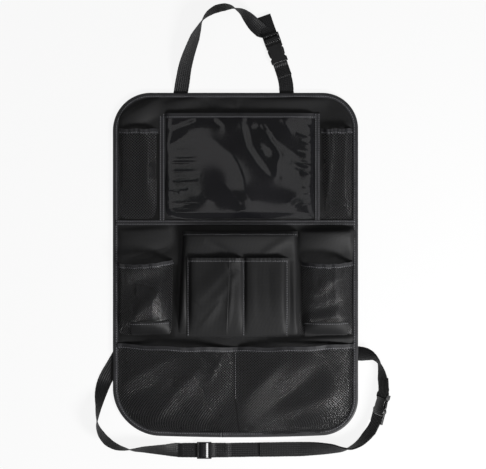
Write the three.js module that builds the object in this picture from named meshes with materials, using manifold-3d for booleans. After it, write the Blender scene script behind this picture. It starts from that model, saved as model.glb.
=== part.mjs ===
// Car seat back organizer: a black fabric panel with film, mesh and fabric pockets,
// bound all round, with a headrest strap at the top and a seat strap below.
// It lies on its back: +X to the right, +Y to the headrest end, +Z out of the pockets.
// The origin is the middle of the panel's back face. All sizes are in millimetres.
import * as THREE from "three";
import { mergeVertices } from "three/addons/utils/BufferGeometryUtils.js";
import Module from "manifold-3d";

const wasm = await Module();
wasm.setup();

// Panel and its edge binding
const panelWidth = 410;
const panelHeight = 576;
const panelThickness = 1.2;
const radiusTopLeft = 63;
const radiusTopRight = 60;
const radiusBottomLeft = 78;
const radiusBottomRight = 60;
const bottomBow = 6; // how far the bottom edge rises towards its corners
const tapeWidth = 8.5;
const tapeThickness = 0.7;
const foldSlack = 1; // room inside the binding's fold, outside the panel's cut edge
const bindingJoint = -22.6; // where the binding's two ends meet on the bottom edge

// Cloth, film and webbing
const meshThickness = 0.8;
const fabricThickness = 0.9;
const filmThickness = 0.6;
const elasticThickness = 0.8;
const elasticWidth = 5;
const webbingWidth = 24;
const webbingThickness = 1.4;
const clearance = 0.3; // between pieces that are sewn or threaded together
const pocketGap = 0.8; // between the binding's inner edge and the pockets
const seamMargin = 5; // flat margin of a pocket, sewn to what carries it

// Tablet pocket, the two mesh pockets beside it and the seam under all three
const tabletInsetLeft = 78; // from the panel's left edge to the pocket
const tabletInsetRight = 64; // from the panel's right edge to the pocket
const tabletDrop = 34.5; // from the panel's top edge to the pocket's mouth
const tabletDepth = 9;
const filmRipple = 0.9;
const seamDrop = 213; // from the panel's top edge to the seam binding's top edge
const upperMeshDrop = 60;
const upperMeshDepth = 10;
const upperMeshSag = 1.2;
const upperMeshFold = 1.1;
const upperGussetWidth = 18; // sloping fold at the left of the right mesh pocket

// Middle row: document pocket, front pocket and two bottle pockets
const documentWidthTop = 199;
const documentWidthBottom = 209;
const documentShiftTop = 8.3;
const documentShiftBottom = 3.3;
const documentDrop = 233;
const middleBottomDrop = 410; // from the panel's top edge to the bottoms of the middle row
const documentDepth = 12;
const frontWidth = 169;
const frontShift = 3.4;
const frontDrop = 275.5;
const frontDepth = 8;
const frontDivider = 13.7; // where the front pocket is stitched into two
const pleatOffset = 26; // from the divider to the pleat, at mid height
const pleatHeight = 2.4;
const pleatSlant = 6;
const pleatFade = 14; // how far left of the pleat its step dies away
const bottleDrop = 281;
const bottleDepth = 24;
const bottleBaseHeight = 20;
const bottleBaseRise = 0.72; // share of the pocket's depth reached by its base
const bottleMouthSag = 5;
const bottleMouthTilt = 7.5; // the left bottle pocket's mouth climbs to the right
const gatherHeight = 1.5;
const gatherCount = 5;

// Bottom mesh pocket
const bottomPocketGap = 11; // from the bottoms of the middle row to the pocket's mouth
const bottomPocketSag = 3.6;
const bottomPocketDepth = 14;
const bottomPocketFold = 1.6;
const bottomDivider = -0.3; // where the bottom pocket is stitched into two

// Side-release buckles and the strap slider
const buckleRail = 1.6;
const buckleLadder = 18.5; // from the ladder's end to the housing's mouth
const buckleBody = 32.5;
const buckleThickness = 8;
const buckleWall = 1.8;
const barWidth = 3;
const barThickness = 2.1;
const slotLength = 4;
const sliderBar = 3.3;
const sliderSlot = 6.3;
const sliderInset = 152; // from the panel's left edge to the middle of the slider's middle bar
const sliderDrop = 21.8; // from the panel's bottom edge to the slider's middle
const sewnLap = 30; // how far a strap's end reaches in under the panel
const loopLap = 25; // how far a webbing loop's end is folded back and sewn

// Straps' routes on the floor: x, y, roll about the strap in degrees, and the height of the
// stack of webbing there in layers. The headrest ones start from the middle of the top edge,
// the seat ones from the bottom corner on their own side.
const headrestRoute = [
  [-91.8, -0.2, 0, 1], [-88.2, 21.5, 14, 1], [-84.7, 41.6, 26, 1], [-80.1, 58.3, 36, 1],
  [-74.3, 75, 45, 1], [-67.8, 91.8, 54, 1], [-61.7, 106, 74, 1], [-55.5, 119.7, 98, 1],
  [-45, 131.7, 122, 1], [-31.8, 139.6, 134, 1], [-17.6, 142.7, 132, 1], [-7.2, 142.2, 117, 1],
  [0.8, 139.2, 96, 1], [10.4, 134.6, 74, 1], [20.9, 125.2, 48, 1], [32.6, 113, 22, 1],
  [43.5, 104, 6, 1],
];
const headrestStubRoute = [
  [78.1, 39.9, 0, 1], [81.6, 28.2, 0, 1], [84.5, 14.8, 0, 1], [85.5, -0.2, 0, 1],
];
const seatLeftRoute = [
  [1.4, 121.9, 0, 1], [-12.8, 96.4, 0, 1], [-19.7, 73.9, 30, 1], [-22.7, 52.1, 58, 1],
  [-24.5, 36.2, 73, 1], [-24.4, 22, 90, 1], [-18.3, 7.6, 107, 1], [-7.5, -5.4, 113, 1],
  [6.7, -13.8, 105, 1], [21, -17.5, 90, 1], [35.2, -19.2, 70, 1], [50.2, -18.8, 57, 1],
  [67, -19.3, 46, 1], [88.7, -20.2, 30, 1], [105, -21, 8, 1],
];
const seatRightRoute = [
  [-132.2, -20.5, 0, 2], [-97.1, -19.7, 4, 2], [-67, -17.8, 24, 2], [-43.6, -17.2, 44, 2],
  [-26.8, -17.5, 66, 2], [-12.6, -14.5, 90, 2], [1.3, -6.3, 106, 2.2], [11.7, 4.3, 118, 3.1],
  [20.4, 14.6, 122, 4.5],
];
const seatStubRoute = [
  [40.2, 85.6, 124, 3.7], [39.4, 99, 126, 2.2], [37.3, 112.3, 112, 2], [33.7, 124, 96, 1.5],
  [27.5, 131.9, 112, 1], [20, 136.1, 138, 1], [12.2, 138.6, 158, 1], [1.6, 139.8, 180, 1],
];
const seatTailLength = 200; // free tail of the seat strap, back from the ladder
const headrestTailLength = 33;
// Where each buckle's ladder ends, the way it points and its roll, from the same places
const headrestBuckle = { x: 57.7, y: 97.6, heading: -70.5, roll: 0 };
const seatBuckle = { x: 26.4, y: 26.5, heading: 75.5, roll: 122 };

// Heights and edges that follow from the sizes above
const face = panelThickness;
const floorLevel = -(tapeThickness + webbingThickness);
const halfWidth = panelWidth / 2;
const halfHeight = panelHeight / 2;
const top = halfHeight;
const pocketInset = tapeWidth + pocketGap;
const layer = webbingThickness + clearance;
const buckleWidth = webbingWidth + 2 * (clearance + buckleRail);
const topEdge = new THREE.Vector2(0, halfHeight);
const leftCorner = new THREE.Vector2(-halfWidth, -halfHeight);
const rightCorner = new THREE.Vector2(halfWidth, -halfHeight);
const sliderX = leftCorner.x + sliderInset;
const sliderY = leftCorner.y - sliderDrop;

const fabricFinish = new THREE.MeshStandardMaterial({ color: 0x2c2c2e, roughness: 0.85 });
const tapeFinish = new THREE.MeshStandardMaterial({ color: 0x303032, roughness: 0.75 });
const meshFinish = new THREE.MeshStandardMaterial({ color: 0x38383a, roughness: 0.7 });
const filmFinish = new THREE.MeshStandardMaterial({ color: 0x4a4a4d, roughness: 0.15 });
const elasticFinish = new THREE.MeshStandardMaterial({ color: 0x1c1c1d, roughness: 0.8 });
const webbingFinish = new THREE.MeshStandardMaterial({ color: 0x2a2a2c, roughness: 0.8 });
const plasticFinish = new THREE.MeshStandardMaterial({ color: 0x202022, roughness: 0.35 });

const organizer = new THREE.Group();
const degrees = Math.PI / 180;

function addPiece(name, finish, geometry, parent = organizer) {
  const mesh = new THREE.Mesh(geometry, finish);
  mesh.name = name;
  parent.add(mesh);
}

// Moves every vertex of a geometry by a rule, keeping it closed
function bend(geometry, rule) {
  const at = geometry.attributes.position;
  const p = new THREE.Vector3();
  for (let i = 0; i < at.count; i++) {
    const q = rule(p.fromBufferAttribute(at, i));
    at.setXYZ(i, q.x, q.y, q.z);
  }
  geometry.computeVertexNormals();
  return geometry;
}

// A box divided into a grid, each grid point placed by rule(u, v, w)
function gridSolid(rule, uStops, vStops) {
  const nu = uStops.length - 1;
  const nv = vStops.length - 1;
  const box = new THREE.BoxGeometry(1, 1, 1, nu, nv, 1);
  const stop = (stops, share) => stops[Math.round((share + 0.5) * (stops.length - 1))];
  return bend(box, (p) => rule(stop(uStops, p.x), stop(vStops, p.y), p.z + 0.5));
}

// A sheet of even thickness over a surface form(u, v), raised by a gap
function sheet(form, thickness, gap, uStops, vStops) {
  const step = 1e-3;
  return gridSolid((u, v, w) => {
    const across = form(u + step, v).sub(form(u - step, v));
    const up = form(u, v + step).sub(form(u, v - step));
    const normal = across.cross(up).normalize();
    return form(u, v).addScaledVector(normal, gap + w * thickness);
  }, uStops, vStops);
}

const even = (count, from = 0, to = 1) =>
  Array.from({ length: count + 1 }, (_, i) => from + ((to - from) * i) / count);
// Stops that crowd towards both ends, for a boxy pocket
const crowded = (count, from = 0, to = 1) =>
  even(count).map((t) => from + (to - from) * (0.5 - 0.5 * Math.cos(Math.PI * t)));
const limit = (value, low = 0, high = 1) => Math.min(high, Math.max(low, value));
const crown = (s, sharpness) => 1 - Math.abs(2 * limit(s) - 1) ** sharpness;
const easeOut = (t) => Math.sin((Math.PI / 2) * limit(t));
const mix = THREE.MathUtils.lerp;

// Half width of the panel's outline at a height, inset from its edge
function sideAt(y, inset, radiusBottom, radiusTop) {
  const radius = y < 0 ? radiusBottom : radiusTop;
  const rise = Math.abs(y) - (halfHeight - radius);
  if (rise <= 0) return halfWidth - inset;
  return halfWidth - radius + Math.sqrt(Math.max(0, (radius - inset) ** 2 - rise ** 2));
}
const leftAt = (y, inset) => -sideAt(y, inset, radiusBottomLeft, radiusTopLeft);
const rightAt = (y, inset) => sideAt(y, inset, radiusBottomRight, radiusTopRight);
// The bottom edge rises a little towards the corners
const bowed = (x, y) => y + bottomBow * (x / halfWidth) ** 2 * limit(-y / halfHeight);

// Heights that follow the outline round its corners, from the bottom up
function outlineHeights(inset, steps) {
  const low = Math.max(radiusBottomLeft, radiusBottomRight);
  const high = Math.max(radiusTopLeft, radiusTopRight);
  const turn = even(steps).map((t) => 1 - Math.cos((t * Math.PI) / 2));
  const bottomRows = turn.map((t) => -halfHeight + inset + (low - inset) * t);
  const topRows = turn.map((t) => halfHeight - inset - (high - inset) * t).reverse();
  return [bottomRows, topRows];
}

function backPanel() {
  const inset = tapeThickness + foldSlack;
  const [bottomRows, topRows] = outlineHeights(inset, 6);
  const middle = halfHeight / 6;
  const rows = [...bottomRows, -2 * middle, -middle, middle, 3 * middle, ...topRows];
  const columns = [0, 0.1, 0.3, 0.6, 0.9, 1];
  const form = (u, y, w) => {
    const x = mix(leftAt(y, inset), rightAt(y, inset), u);
    return new THREE.Vector3(x, bowed(x, y), w * panelThickness);
  };
  addPiece("back_panel", fabricFinish, gridSolid(form, columns, rows));
}

// The panel's outline as a list of points, from the binding joint round to it again
function outlineRing(inset) {
  const ring = [];
  const corner = (sx, sy, radius, from) => {
    for (const t of even(6)) {
      const angle = (from + 90 * t) * degrees;
      const x = sx * (halfWidth - radius) + (radius - inset) * Math.cos(angle);
      const y = sy * (halfHeight - radius) + (radius - inset) * Math.sin(angle);
      ring.push([x, y]);
    }
  };
  const low = -halfHeight + inset;
  ring.push([bindingJoint + clearance / 2, low], [50, low], [100, low]);
  corner(1, -1, radiusBottomRight, -90);
  ring.push([halfWidth - inset, 0]);
  corner(1, 1, radiusTopRight, 0);
  ring.push([0, halfHeight - inset]);
  corner(-1, 1, radiusTopLeft, 90);
  ring.push([-halfWidth + inset, 0]);
  corner(-1, -1, radiusBottomLeft, 180);
  ring.push([-75, low], [bindingJoint - clearance / 2, low]);
  return ring.map(([x, y]) => new THREE.Vector2(x, bowed(x, y)));
}

// Tape folded round the edge: an upper leg, a wall and a lower leg
function edgeBinding() {
  const wall = tapeThickness;
  const high = face + wall;
  const profile = new THREE.Shape([
    new THREE.Vector2(wall / 2, -wall),
    new THREE.Vector2(tapeWidth, -wall),
    new THREE.Vector2(tapeWidth, 0),
    new THREE.Vector2(wall, 0),
    new THREE.Vector2(wall, face),
    new THREE.Vector2(tapeWidth, face),
    new THREE.Vector2(tapeWidth, high),
    new THREE.Vector2(wall / 2, high),
    new THREE.Vector2(0, high - wall / 2),
    new THREE.Vector2(0, -wall / 2),
  ]);
  const rings = new Map([0, wall / 2, wall, tapeWidth].map((inset) => [inset, outlineRing(inset)]));
  const steps = rings.get(0).length - 1;
  const geometry = new THREE.ExtrudeGeometry(profile, { depth: 1, steps, bevelEnabled: false });
  bend(geometry, (p) => {
    const inset = [...rings.keys()].find((key) => Math.abs(key - p.x) < 1e-4);
    const at = rings.get(inset)[Math.round(p.z * steps)];
    return new THREE.Vector3(at.x, at.y, p.y);
  });
  addPiece("edge_binding", tapeFinish, geometry);
}

// A flat tape with thinner edges, sewn on at height z
function tape(name, x0, x1, y0, y1, z) {
  const tall = y1 - y0 > x1 - x0;
  const rim = [0, 0.15, 0.85, 1];
  const rule = (u, v, w) => {
    const edge = tall ? u : v;
    const thickness = tapeThickness * (edge === 0 || edge === 1 ? 0.6 : 1);
    return new THREE.Vector3(mix(x0, x1, u), mix(y0, y1, v), z + w * thickness);
  };
  const [us, vs] = tall ? [rim, [0, 1]] : [[0, 1], rim];
  addPiece(name, tapeFinish, gridSolid(rule, us, vs));
}

// Edges of the top row
const seamTop = top - seamDrop;
const seamBottom = seamTop - tapeWidth;
const rowLeft = -halfWidth + pocketInset;
const rowRight = halfWidth - pocketInset;
const tabletLeft = -halfWidth + tabletInsetLeft;
const tabletRight = halfWidth - tabletInsetRight;
const tabletTop = top - tabletDrop;
const marginThickness = Math.max(meshThickness, filmThickness);

// A pocket's surface between its sides, flat along its sewn margins
function pocketForm(shape) {
  const { left, right, bottom, mouth, depth, sharpness, rise, margin, foot = margin, extra } = shape;
  return (u, v) => {
    const y = mix(bottom(u), mouth(u), v);
    const x0 = left(y);
    const x1 = right(y);
    const x = mix(x0, x1, u);
    const flatU = margin / (x1 - x0);
    const flatV = foot / (mouth(u) - bottom(u));
    const s = (u - flatU) / (1 - 2 * flatU);
    const climb = rise(limit((v - flatV) / (1 - flatV)));
    const swell = depth * crown(s, sharpness) * climb + (extra ? extra(s, climb, x, v) : 0);
    return new THREE.Vector3(x, y, face + swell);
  };
}
const fixed = (value) => () => value;

function tabletPocket() {
  const form = pocketForm({
    left: fixed(tabletLeft + 1), right: fixed(tabletRight - 1),
    bottom: fixed(seamBottom + 1), mouth: fixed(tabletTop),
    depth: tabletDepth, sharpness: 5, margin: tapeWidth,
    rise: (t) => easeOut(t / 0.55),
    // slack film ripples towards both sides and stays level in the middle
    extra: (s, climb, x, v) => {
      const ripple = filmRipple * Math.sin(9 * v + 5 * s) * Math.abs(2 * limit(s) - 1);
      return ripple * crown(s, 4) * climb;
    },
  });
  const sewn = tapeWidth / (tabletRight - tabletLeft - 2);
  const columns = [0, sewn, ...crowded(12, 0.045, 0.955), 1 - sewn, 1];
  const rows = [0, 0.05, ...even(7, 0.12, 1)];
  addPiece("tablet_window", filmFinish, sheet(form, filmThickness, 0, columns, rows));
  const band = 1 - tapeWidth / (tabletTop - seamBottom);
  const inner = columns.slice(1, -1);
  addPiece("tablet_top_binding", tapeFinish,
    sheet(form, tapeThickness, filmThickness + clearance, inner, [band, 1]));
  const z = face + marginThickness;
  const low = seamTop + clearance;
  tape("tablet_left_binding", tabletLeft, tabletLeft + tapeWidth, low, tabletTop, z);
  tape("tablet_right_binding", tabletRight - tapeWidth, tabletRight, low, tabletTop, z);
  tape("seam_binding", rowLeft, rowRight, seamBottom, seamTop, z);
}

// Hem tape on the front of a mesh pocket's mouth, with an elastic band between
function hem(name, form, height, columns, withElastic) {
  const inner = withElastic ? elasticThickness + clearance : 0;
  const gap = meshThickness + clearance;
  const band = (width) => 1 - width / height;
  if (withElastic) {
    const share = (tapeWidth - elasticWidth) / 2;
    addPiece(name + "_elastic", elasticFinish,
      sheet(form, elasticThickness, gap, columns, [band(tapeWidth - share), band(share)]));
  }
  addPiece(name + "_hem", tapeFinish,
    sheet(form, tapeThickness, gap + inner, columns, [band(tapeWidth), 1]));
}

function upperMeshPockets() {
  const low = seamBottom + 1;
  const high = top - upperMeshDrop;
  const shared = {
    bottom: fixed(low), mouth: (u) => high - upperMeshSag * Math.sin(Math.PI * u),
    depth: upperMeshDepth, margin: seamMargin, foot: tapeWidth,
    rise: (t) => easeOut(t / 0.6),
  };
  const fold = (s, climb, x, v) => upperMeshFold * climb * crown(s, 2) * Math.sin(7 * s + 3 * v);
  const leftForm = pocketForm({
    ...shared, left: (y) => leftAt(y, pocketInset), right: fixed(tabletLeft - clearance),
    sharpness: 3, extra: fold,
  });
  const columns = [0, ...crowded(9, 0.075, 0.925), 1];
  const rows = [0, 0.05, ...even(6, 0.12, 1 - (tapeWidth + 1) / (high - low)), 1];
  addPiece("upper_left_mesh_pocket", meshFinish, sheet(leftForm, meshThickness, 0, columns, rows));
  hem("upper_left_pocket", leftForm, high - low, columns.slice(1, -1), true);
  // the right pocket rises along a sloping gusset and is steep on its other side
  const gusset = upperGussetWidth;
  const x0 = tabletRight + clearance;
  const width = rowRight - x0;
  const ramp = (x) => limit((x - x0 - 2) / gusset);
  const rightForm = pocketForm({
    ...shared, left: fixed(x0), right: (y) => rightAt(y, pocketInset),
    sharpness: 1, depth: 0, margin: seamMargin / 2,
    extra: (s, climb, x, v) => {
      const far = limit((rowRight - seamMargin / 2 - x) / (gusset / 2));
      return upperMeshDepth * climb * ramp(x) ** 0.7 * easeOut(far) + 0.3 * fold(s, climb, x, v);
    },
  });
  const gussetEnd = (2 + gusset) / width;
  const rightColumns = [0, 2 / width, 0.5 * gussetEnd, gussetEnd, ...even(4, gussetEnd + 0.1, 0.955), 1];
  addPiece("upper_right_mesh_pocket", meshFinish, sheet(rightForm, meshThickness, 0, rightColumns, rows));
  hem("upper_right_pocket", rightForm, high - low, rightColumns.slice(1, -1), true);
}

// Middle row
const middleBottom = top - middleBottomDrop;
const documentTop = top - documentDrop;
const documentShare = (y) => (y - middleBottom) / (documentTop - middleBottom);
const documentMiddle = (y) => mix(documentShiftBottom, documentShiftTop, documentShare(y));
const documentHalf = (y) => mix(documentWidthBottom, documentWidthTop, documentShare(y)) / 2;
const documentLeft = (y) => documentMiddle(y) - documentHalf(y);
const documentRight = (y) => documentMiddle(y) + documentHalf(y);
const documentForm = pocketForm({
  left: documentLeft, right: documentRight, bottom: fixed(middleBottom), mouth: fixed(documentTop),
  depth: documentDepth, sharpness: 9, margin: seamMargin,
  rise: (t) => easeOut(t / 0.5),
});
// Height of the document pocket's surface over a point of the panel
function documentHeight(x, y) {
  const u = (x - documentLeft(y)) / (documentRight(y) - documentLeft(y));
  return documentForm(u, documentShare(y)).z;
}

function documentPocket() {
  const columns = [0, 0.03, ...crowded(12, 0.045, 0.955), 0.97, 1];
  const rows = [0, 0.03, ...even(4, 0.09, 0.5), 0.7, 1];
  addPiece("document_pocket", fabricFinish, sheet(documentForm, fabricThickness, 0, columns, rows));
}

function frontPocket() {
  const left = frontShift - frontWidth / 2;
  const right = frontShift + frontWidth / 2;
  const high = top - frontDrop;
  const low = middleBottom + 1.5;
  const margin = seamMargin - 1;
  const divider = (frontDivider - left) / frontWidth;
  const half = margin / 2 / frontWidth;
  const pleat = (frontDivider - pleatOffset - left) / frontWidth;
  const lift = fabricThickness + clearance;
  const form = (u, v) => {
    const y = mix(low, high, v);
    // columns near the pleat slant with it
    const nearPleat = u < pleat ? u / pleat : limit((divider - u) / (divider - pleat));
    const x = mix(left, right, u) + pleatSlant * (v - 0.5) * nearPleat;
    const edge = margin / frontWidth;
    const s = u < divider
      ? (u - edge) / (divider - half - edge)
      : (u - divider - half) / (1 - edge - divider - half);
    const t = limit((v - margin / (high - low)) / (1 - margin / (high - low)));
    // the pleat lies as a step that fades to its left
    const behind = (pleat - u) * frontWidth;
    const step = behind >= 0 ? pleatHeight * Math.exp(-behind / pleatFade) : 0;
    const climb = easeOut(t / 0.6);
    const swell = (frontDepth * crown(s, 5) + step * limit(8 * s)) * climb;
    return new THREE.Vector3(x, y, documentHeight(x, y) + lift + swell);
  };
  const edge = margin / frontWidth;
  const sliver = 1.5 / frontWidth;
  const columns = [
    0, edge, ...even(4, edge + 0.03, pleat - 0.1), pleat - 0.03, pleat, pleat + sliver,
    pleat + 0.06, divider - half - 0.025, divider - half, divider + half, divider + half + 0.03,
    ...even(4, divider + 0.1, 1 - edge - 0.04), 1 - edge, 1,
  ];
  const rows = [0, margin / (high - low), ...even(4, 0.1, 0.62), 0.8, 1];
  addPiece("front_pocket", fabricFinish, sheet(form, fabricThickness, 0, columns, rows));
}

// Mesh pocket with a sloping fabric base and gathers below its hem
function bottlePocket(side, left, right, tilt) {
  const high = top - bottleDrop;
  const low = middleBottom;
  const height = high - low;
  const baseShare = bottleBaseHeight / height;
  const form = pocketForm({
    left, right, bottom: fixed(low),
    mouth: (u) => high + tilt * (u - 0.5) - bottleMouthSag * 4 * u * (1 - u),
    depth: bottleDepth, sharpness: 3, margin: seamMargin - 2,
    // most of the rise is the fabric base's, the rest is the mesh's
    rise: (t) => (t < baseShare
      ? bottleBaseRise * easeOut((0.9 * t) / baseShare)
      : mix(bottleBaseRise, 1, easeOut((t - baseShare) / 0.5))),
    extra: (s, climb, x, v) =>
      gatherHeight * crown(s, 2) * limit((v - 0.25) * 2) * Math.sin(2 * Math.PI * gatherCount * s),
  });
  const split = baseShare + (seamMargin - 2) / height;
  const hair = clearance / height;
  const columns = [0, 0.035, ...even(17, 0.06, 0.94), 0.965, 1];
  const baseColumns = [0, 0.035, ...even(7, 0.08, 0.92), 0.965, 1];
  const meshRows = [...even(4, split + hair, 1 - (tapeWidth + 1) / height), 1];
  addPiece(side + "_bottle_base", fabricFinish,
    sheet(form, fabricThickness, 0, baseColumns, [0, 0.025, ...even(3, 0.045, split - hair)]));
  addPiece(side + "_bottle_mesh", meshFinish, sheet(form, meshThickness, 0, columns, meshRows));
  hem(side + "_bottle", form, height, columns.slice(1, -1), true);
}

function bottomPocket() {
  const inset = pocketInset;
  const mouth = middleBottom - bottomPocketGap;
  const low = -halfHeight + inset;
  const [rows] = outlineHeights(inset, 6);
  const height = mouth - low;
  const shares = rows.map((y) => (y - low) / height);
  const flat = seamMargin - 1;
  const form = (u, v) => {
    const y = mix(low, mouth - bottomPocketSag * 4 * u * (1 - u) * limit(v), v);
    const x0 = leftAt(y, inset);
    const x1 = rightAt(y, inset);
    const x = mix(x0, x1, u);
    const s = x < bottomDivider
      ? (x - x0 - flat) / (bottomDivider - x0 - 1.5 * flat)
      : (x - bottomDivider - flat / 2) / (x1 - bottomDivider - 1.5 * flat);
    const climb = easeOut(limit((v * height - flat) / (height - flat)) / 0.7);
    const folds = bottomPocketFold * Math.sin(9 * s) * Math.sin(5 * v) * crown(s, 2);
    const swell = (bottomPocketDepth * crown(s, 2.6) + folds) * climb;
    return new THREE.Vector3(x, bowed(x, y), face + swell);
  };
  // column stops that keep one pair of columns on the stitched divider
  const span = rightAt(0, inset) - leftAt(0, inset);
  const divider = (bottomDivider - leftAt(0, inset)) / span;
  const half = flat / 2 / span;
  const side = [0, flat / span];
  const columns = [
    ...side, ...crowded(8, 0.02, divider - half - 0.01), divider - half,
    divider + half, ...crowded(8, divider + half + 0.01, 0.98), 1 - flat / span, 1,
  ];
  const hemStart = 1 - (tapeWidth + 1) / height;
  const corner = shares.slice(2).filter((share) => share < 0.8 * hemStart);
  const upper = even(4, corner.at(-1), hemStart).slice(1);
  const allRows = [0, flat / height, ...corner, ...upper, 1];
  addPiece("bottom_mesh_pocket", meshFinish, sheet(form, meshThickness, 0, columns, allRows));
  hem("bottom_pocket", form, height, columns.slice(1, -1), false);
}

// Webbing along stations, each a point and the strap's direction across
function ribbon(name, stations) {
  const last = stations.length - 1;
  const frames = stations.map(({ p, across }, i) => {
    const ahead = stations[Math.min(i + 1, last)].p;
    const behind = stations[Math.max(i - 1, 0)].p;
    const along = ahead.clone().sub(behind).normalize();
    return { p, across, up: along.cross(across).normalize() };
  });
  const rule = (u, v, w) => {
    const { p, across, up } = frames[v];
    return p.clone()
      .addScaledVector(across, (0.5 - u) * webbingWidth)
      .addScaledVector(up, (w - 0.5) * webbingThickness);
  };
  addPiece(name, webbingFinish, gridSolid(rule, [0, 1], stations.map((_, i) => i)));
}

// Across direction and height of a strap that leans on the floor by its roll
function lean(x, y, heading, roll, stack) {
  const side = new THREE.Vector3(-Math.sin(heading), Math.cos(heading), 0);
  const c = Math.cos(roll * degrees);
  const s = Math.sin(roll * degrees);
  const upright = new THREE.Vector3(0, 0, 1);
  const across = side.clone().multiplyScalar(c).addScaledVector(upright, s);
  const normal = side.multiplyScalar(-s).addScaledVector(upright, c);
  const height = floorLevel + (webbingWidth / 2) * Math.abs(s) + Math.max(0, -stack * c);
  return { base: new THREE.Vector3(x, y, height), across, normal };
}

// A route's points, moved to the place on the panel's edge they are measured from
const routeFrom = (place, route) =>
  route.map(([x, y, ...rest]) => [place.x + x, place.y + y, ...rest]);

// Stations along a route, at a height above the strap's lower face
function along(route, height, perSpan = 3) {
  const plan = new THREE.CatmullRomCurve3(route.map(([x, y]) => new THREE.Vector3(x, y, 0)));
  const spans = route.length - 1;
  return even(spans * perSpan).map((t) => {
    const at = plan.getPoint(t);
    const way = plan.getTangent(t);
    const span = Math.min(Math.floor(t * spans + 1e-9), spans - 1);
    const [roll, layers] = [2, 3].map((i) => mix(route[span][i], route[span + 1][i], t * spans - span));
    const stack = layers * layer - clearance;
    const { base, across, normal } = lean(at.x, at.y, Math.atan2(way.y, way.x), roll, stack);
    return { p: base.addScaledVector(normal, height), across };
  });
}

// A place for a buckle: its own y runs along the strap and its z out of it
function buckleFrame(place, { x, y, heading, roll }) {
  const angle = heading * degrees;
  const { base, across, normal } = lean(place.x + x, place.y + y, angle, roll, buckleThickness);
  const right = across.clone().negate();
  const forward = normal.clone().cross(right);
  return { matrix: new THREE.Matrix4().makeBasis(right, forward, normal).setPosition(base), across };
}

// Stations through a fitting, from points [along, above] in its own frame
function threaded(frame, points) {
  return points.map(([y, z]) => ({
    p: new THREE.Vector3(0, y, z).applyMatrix4(frame.matrix),
    across: frame.across,
  }));
}
// Half a turn of webbing about a bar, from below to above it or back
function halfTurn(y, low, high, toRight, fromLow) {
  const radius = (high - low) / 2;
  const points = even(6).map((t) => {
    const angle = Math.PI * t;
    return [y + (toRight ? 1 : -1) * radius * Math.sin(angle), (low + high) / 2 - radius * Math.cos(angle)];
  });
  return fromLow ? points : points.reverse();
}

// Webbing heights at a fitting: lower layer, upper layer, and over a bar
const lowLayer = webbingThickness / 2;
const highLayer = lowLayer + layer;
const barBottom = webbingThickness + clearance;
const barTop = barBottom + barThickness;
const overBar = barTop + clearance + webbingThickness / 2;
const endBarBottom = highLayer + webbingThickness / 2 + clearance;
const midBarStart = barWidth + slotLength;
const midBarEnd = midBarStart + barWidth;

// Up through the ladder's inner slot, over its middle bar and out under its end bar
function ladderPath(entry) {
  return [
    [entry, lowLayer], [midBarEnd - 1, lowLayer],
    ...halfTurn(midBarEnd + 0.9, lowLayer, overBar, true, true),
    [midBarStart + 0.2, overBar], [midBarStart - 1, overBar - 0.5], [midBarStart - 2.4, highLayer + 0.6],
    [midBarStart - 3.4, highLayer + 0.1], [midBarStart - 4.4, highLayer],
  ];
}

const bodyStart = buckleLadder + clearance;
const buckleEnd = buckleLadder + buckleBody;
const tailBar = buckleEnd - barWidth - 1.5; // start of the housing's bar for the stub
// Round the housing's bar, the short lap on top and the long layer below
function housingPath() {
  return [
    [buckleEnd + loopLap - 1, highLayer], [buckleEnd + 8, highLayer], [buckleEnd + 4.5, highLayer + 0.4],
    [buckleEnd + 1.5, overBar - 0.4], [tailBar + barWidth - 1, overBar],
    ...halfTurn(tailBar - 0.4, lowLayer, overBar, false, false),
    [tailBar + barWidth, lowLayer], [buckleEnd + 2, lowLayer],
  ];
}

// Continues a strap in a straight line under the panel, where it is sewn
function sewnEnd(stations, before) {
  const [end, next] = before ? [stations[0], stations[1]] : [stations.at(-1), stations.at(-2)];
  const way = end.p.clone().sub(next.p).setZ(0).normalize();
  const far = { p: end.p.clone().addScaledVector(way, sewnLap), across: end.across };
  return before ? [far, ...stations] : [...stations, far];
}

function headrestStrap() {
  const frame = buckleFrame(topEdge, headrestBuckle);
  const main = sewnEnd(along(routeFrom(topEdge, headrestRoute), lowLayer), true);
  const tail = [[-8, highLayer], [-20, highLayer], [-headrestTailLength, highLayer]];
  ribbon("headrest_strap", [...main, ...threaded(frame, [...ladderPath(2), ...tail])]);
  const stub = threaded(frame, housingPath());
  const rest = along(routeFrom(topEdge, headrestStubRoute), lowLayer);
  ribbon("headrest_strap_stub", [...stub, ...sewnEnd(rest, false)]);
}

// Slider: its own y runs along +X, and its z is up
const sliderFrame = {
  matrix: new THREE.Matrix4().makeBasis(
    new THREE.Vector3(0, -1, 0), new THREE.Vector3(1, 0, 0), new THREE.Vector3(0, 0, 1),
  ).setPosition(sliderX, sliderY, floorLevel),
  across: new THREE.Vector3(0, 1, 0),
};
const sliderHalf = sliderBar / 2;
const sliderOuter = sliderHalf + sliderSlot + sliderBar; // from its middle to its ends
const rightBarStart = sliderHalf + sliderSlot + 1.6;

function seatStrapLeft() {
  const main = sewnEnd(along(routeFrom(leftCorner, seatLeftRoute), lowLayer), true);
  const lap = sliderOuter + loopLap;
  const points = [
    [-lap - 7, lowLayer], [-lap - 1, highLayer], [-sliderOuter - 4, highLayer], [-sliderOuter + 1, highLayer],
    [-sliderOuter + 3.8, highLayer + 0.3], [-sliderOuter + 5.6, highLayer + 1.3],
    [-sliderHalf - 2.6, overBar - 0.4], [-sliderHalf - 0.8, overBar],
    ...halfTurn(sliderHalf, lowLayer, overBar, true, false),
    [-sliderHalf, lowLayer], [-sliderOuter, lowLayer], [-lap + 1.5, lowLayer],
  ];
  ribbon("seat_strap_left", [...main, ...threaded(sliderFrame, points)]);
}

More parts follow.
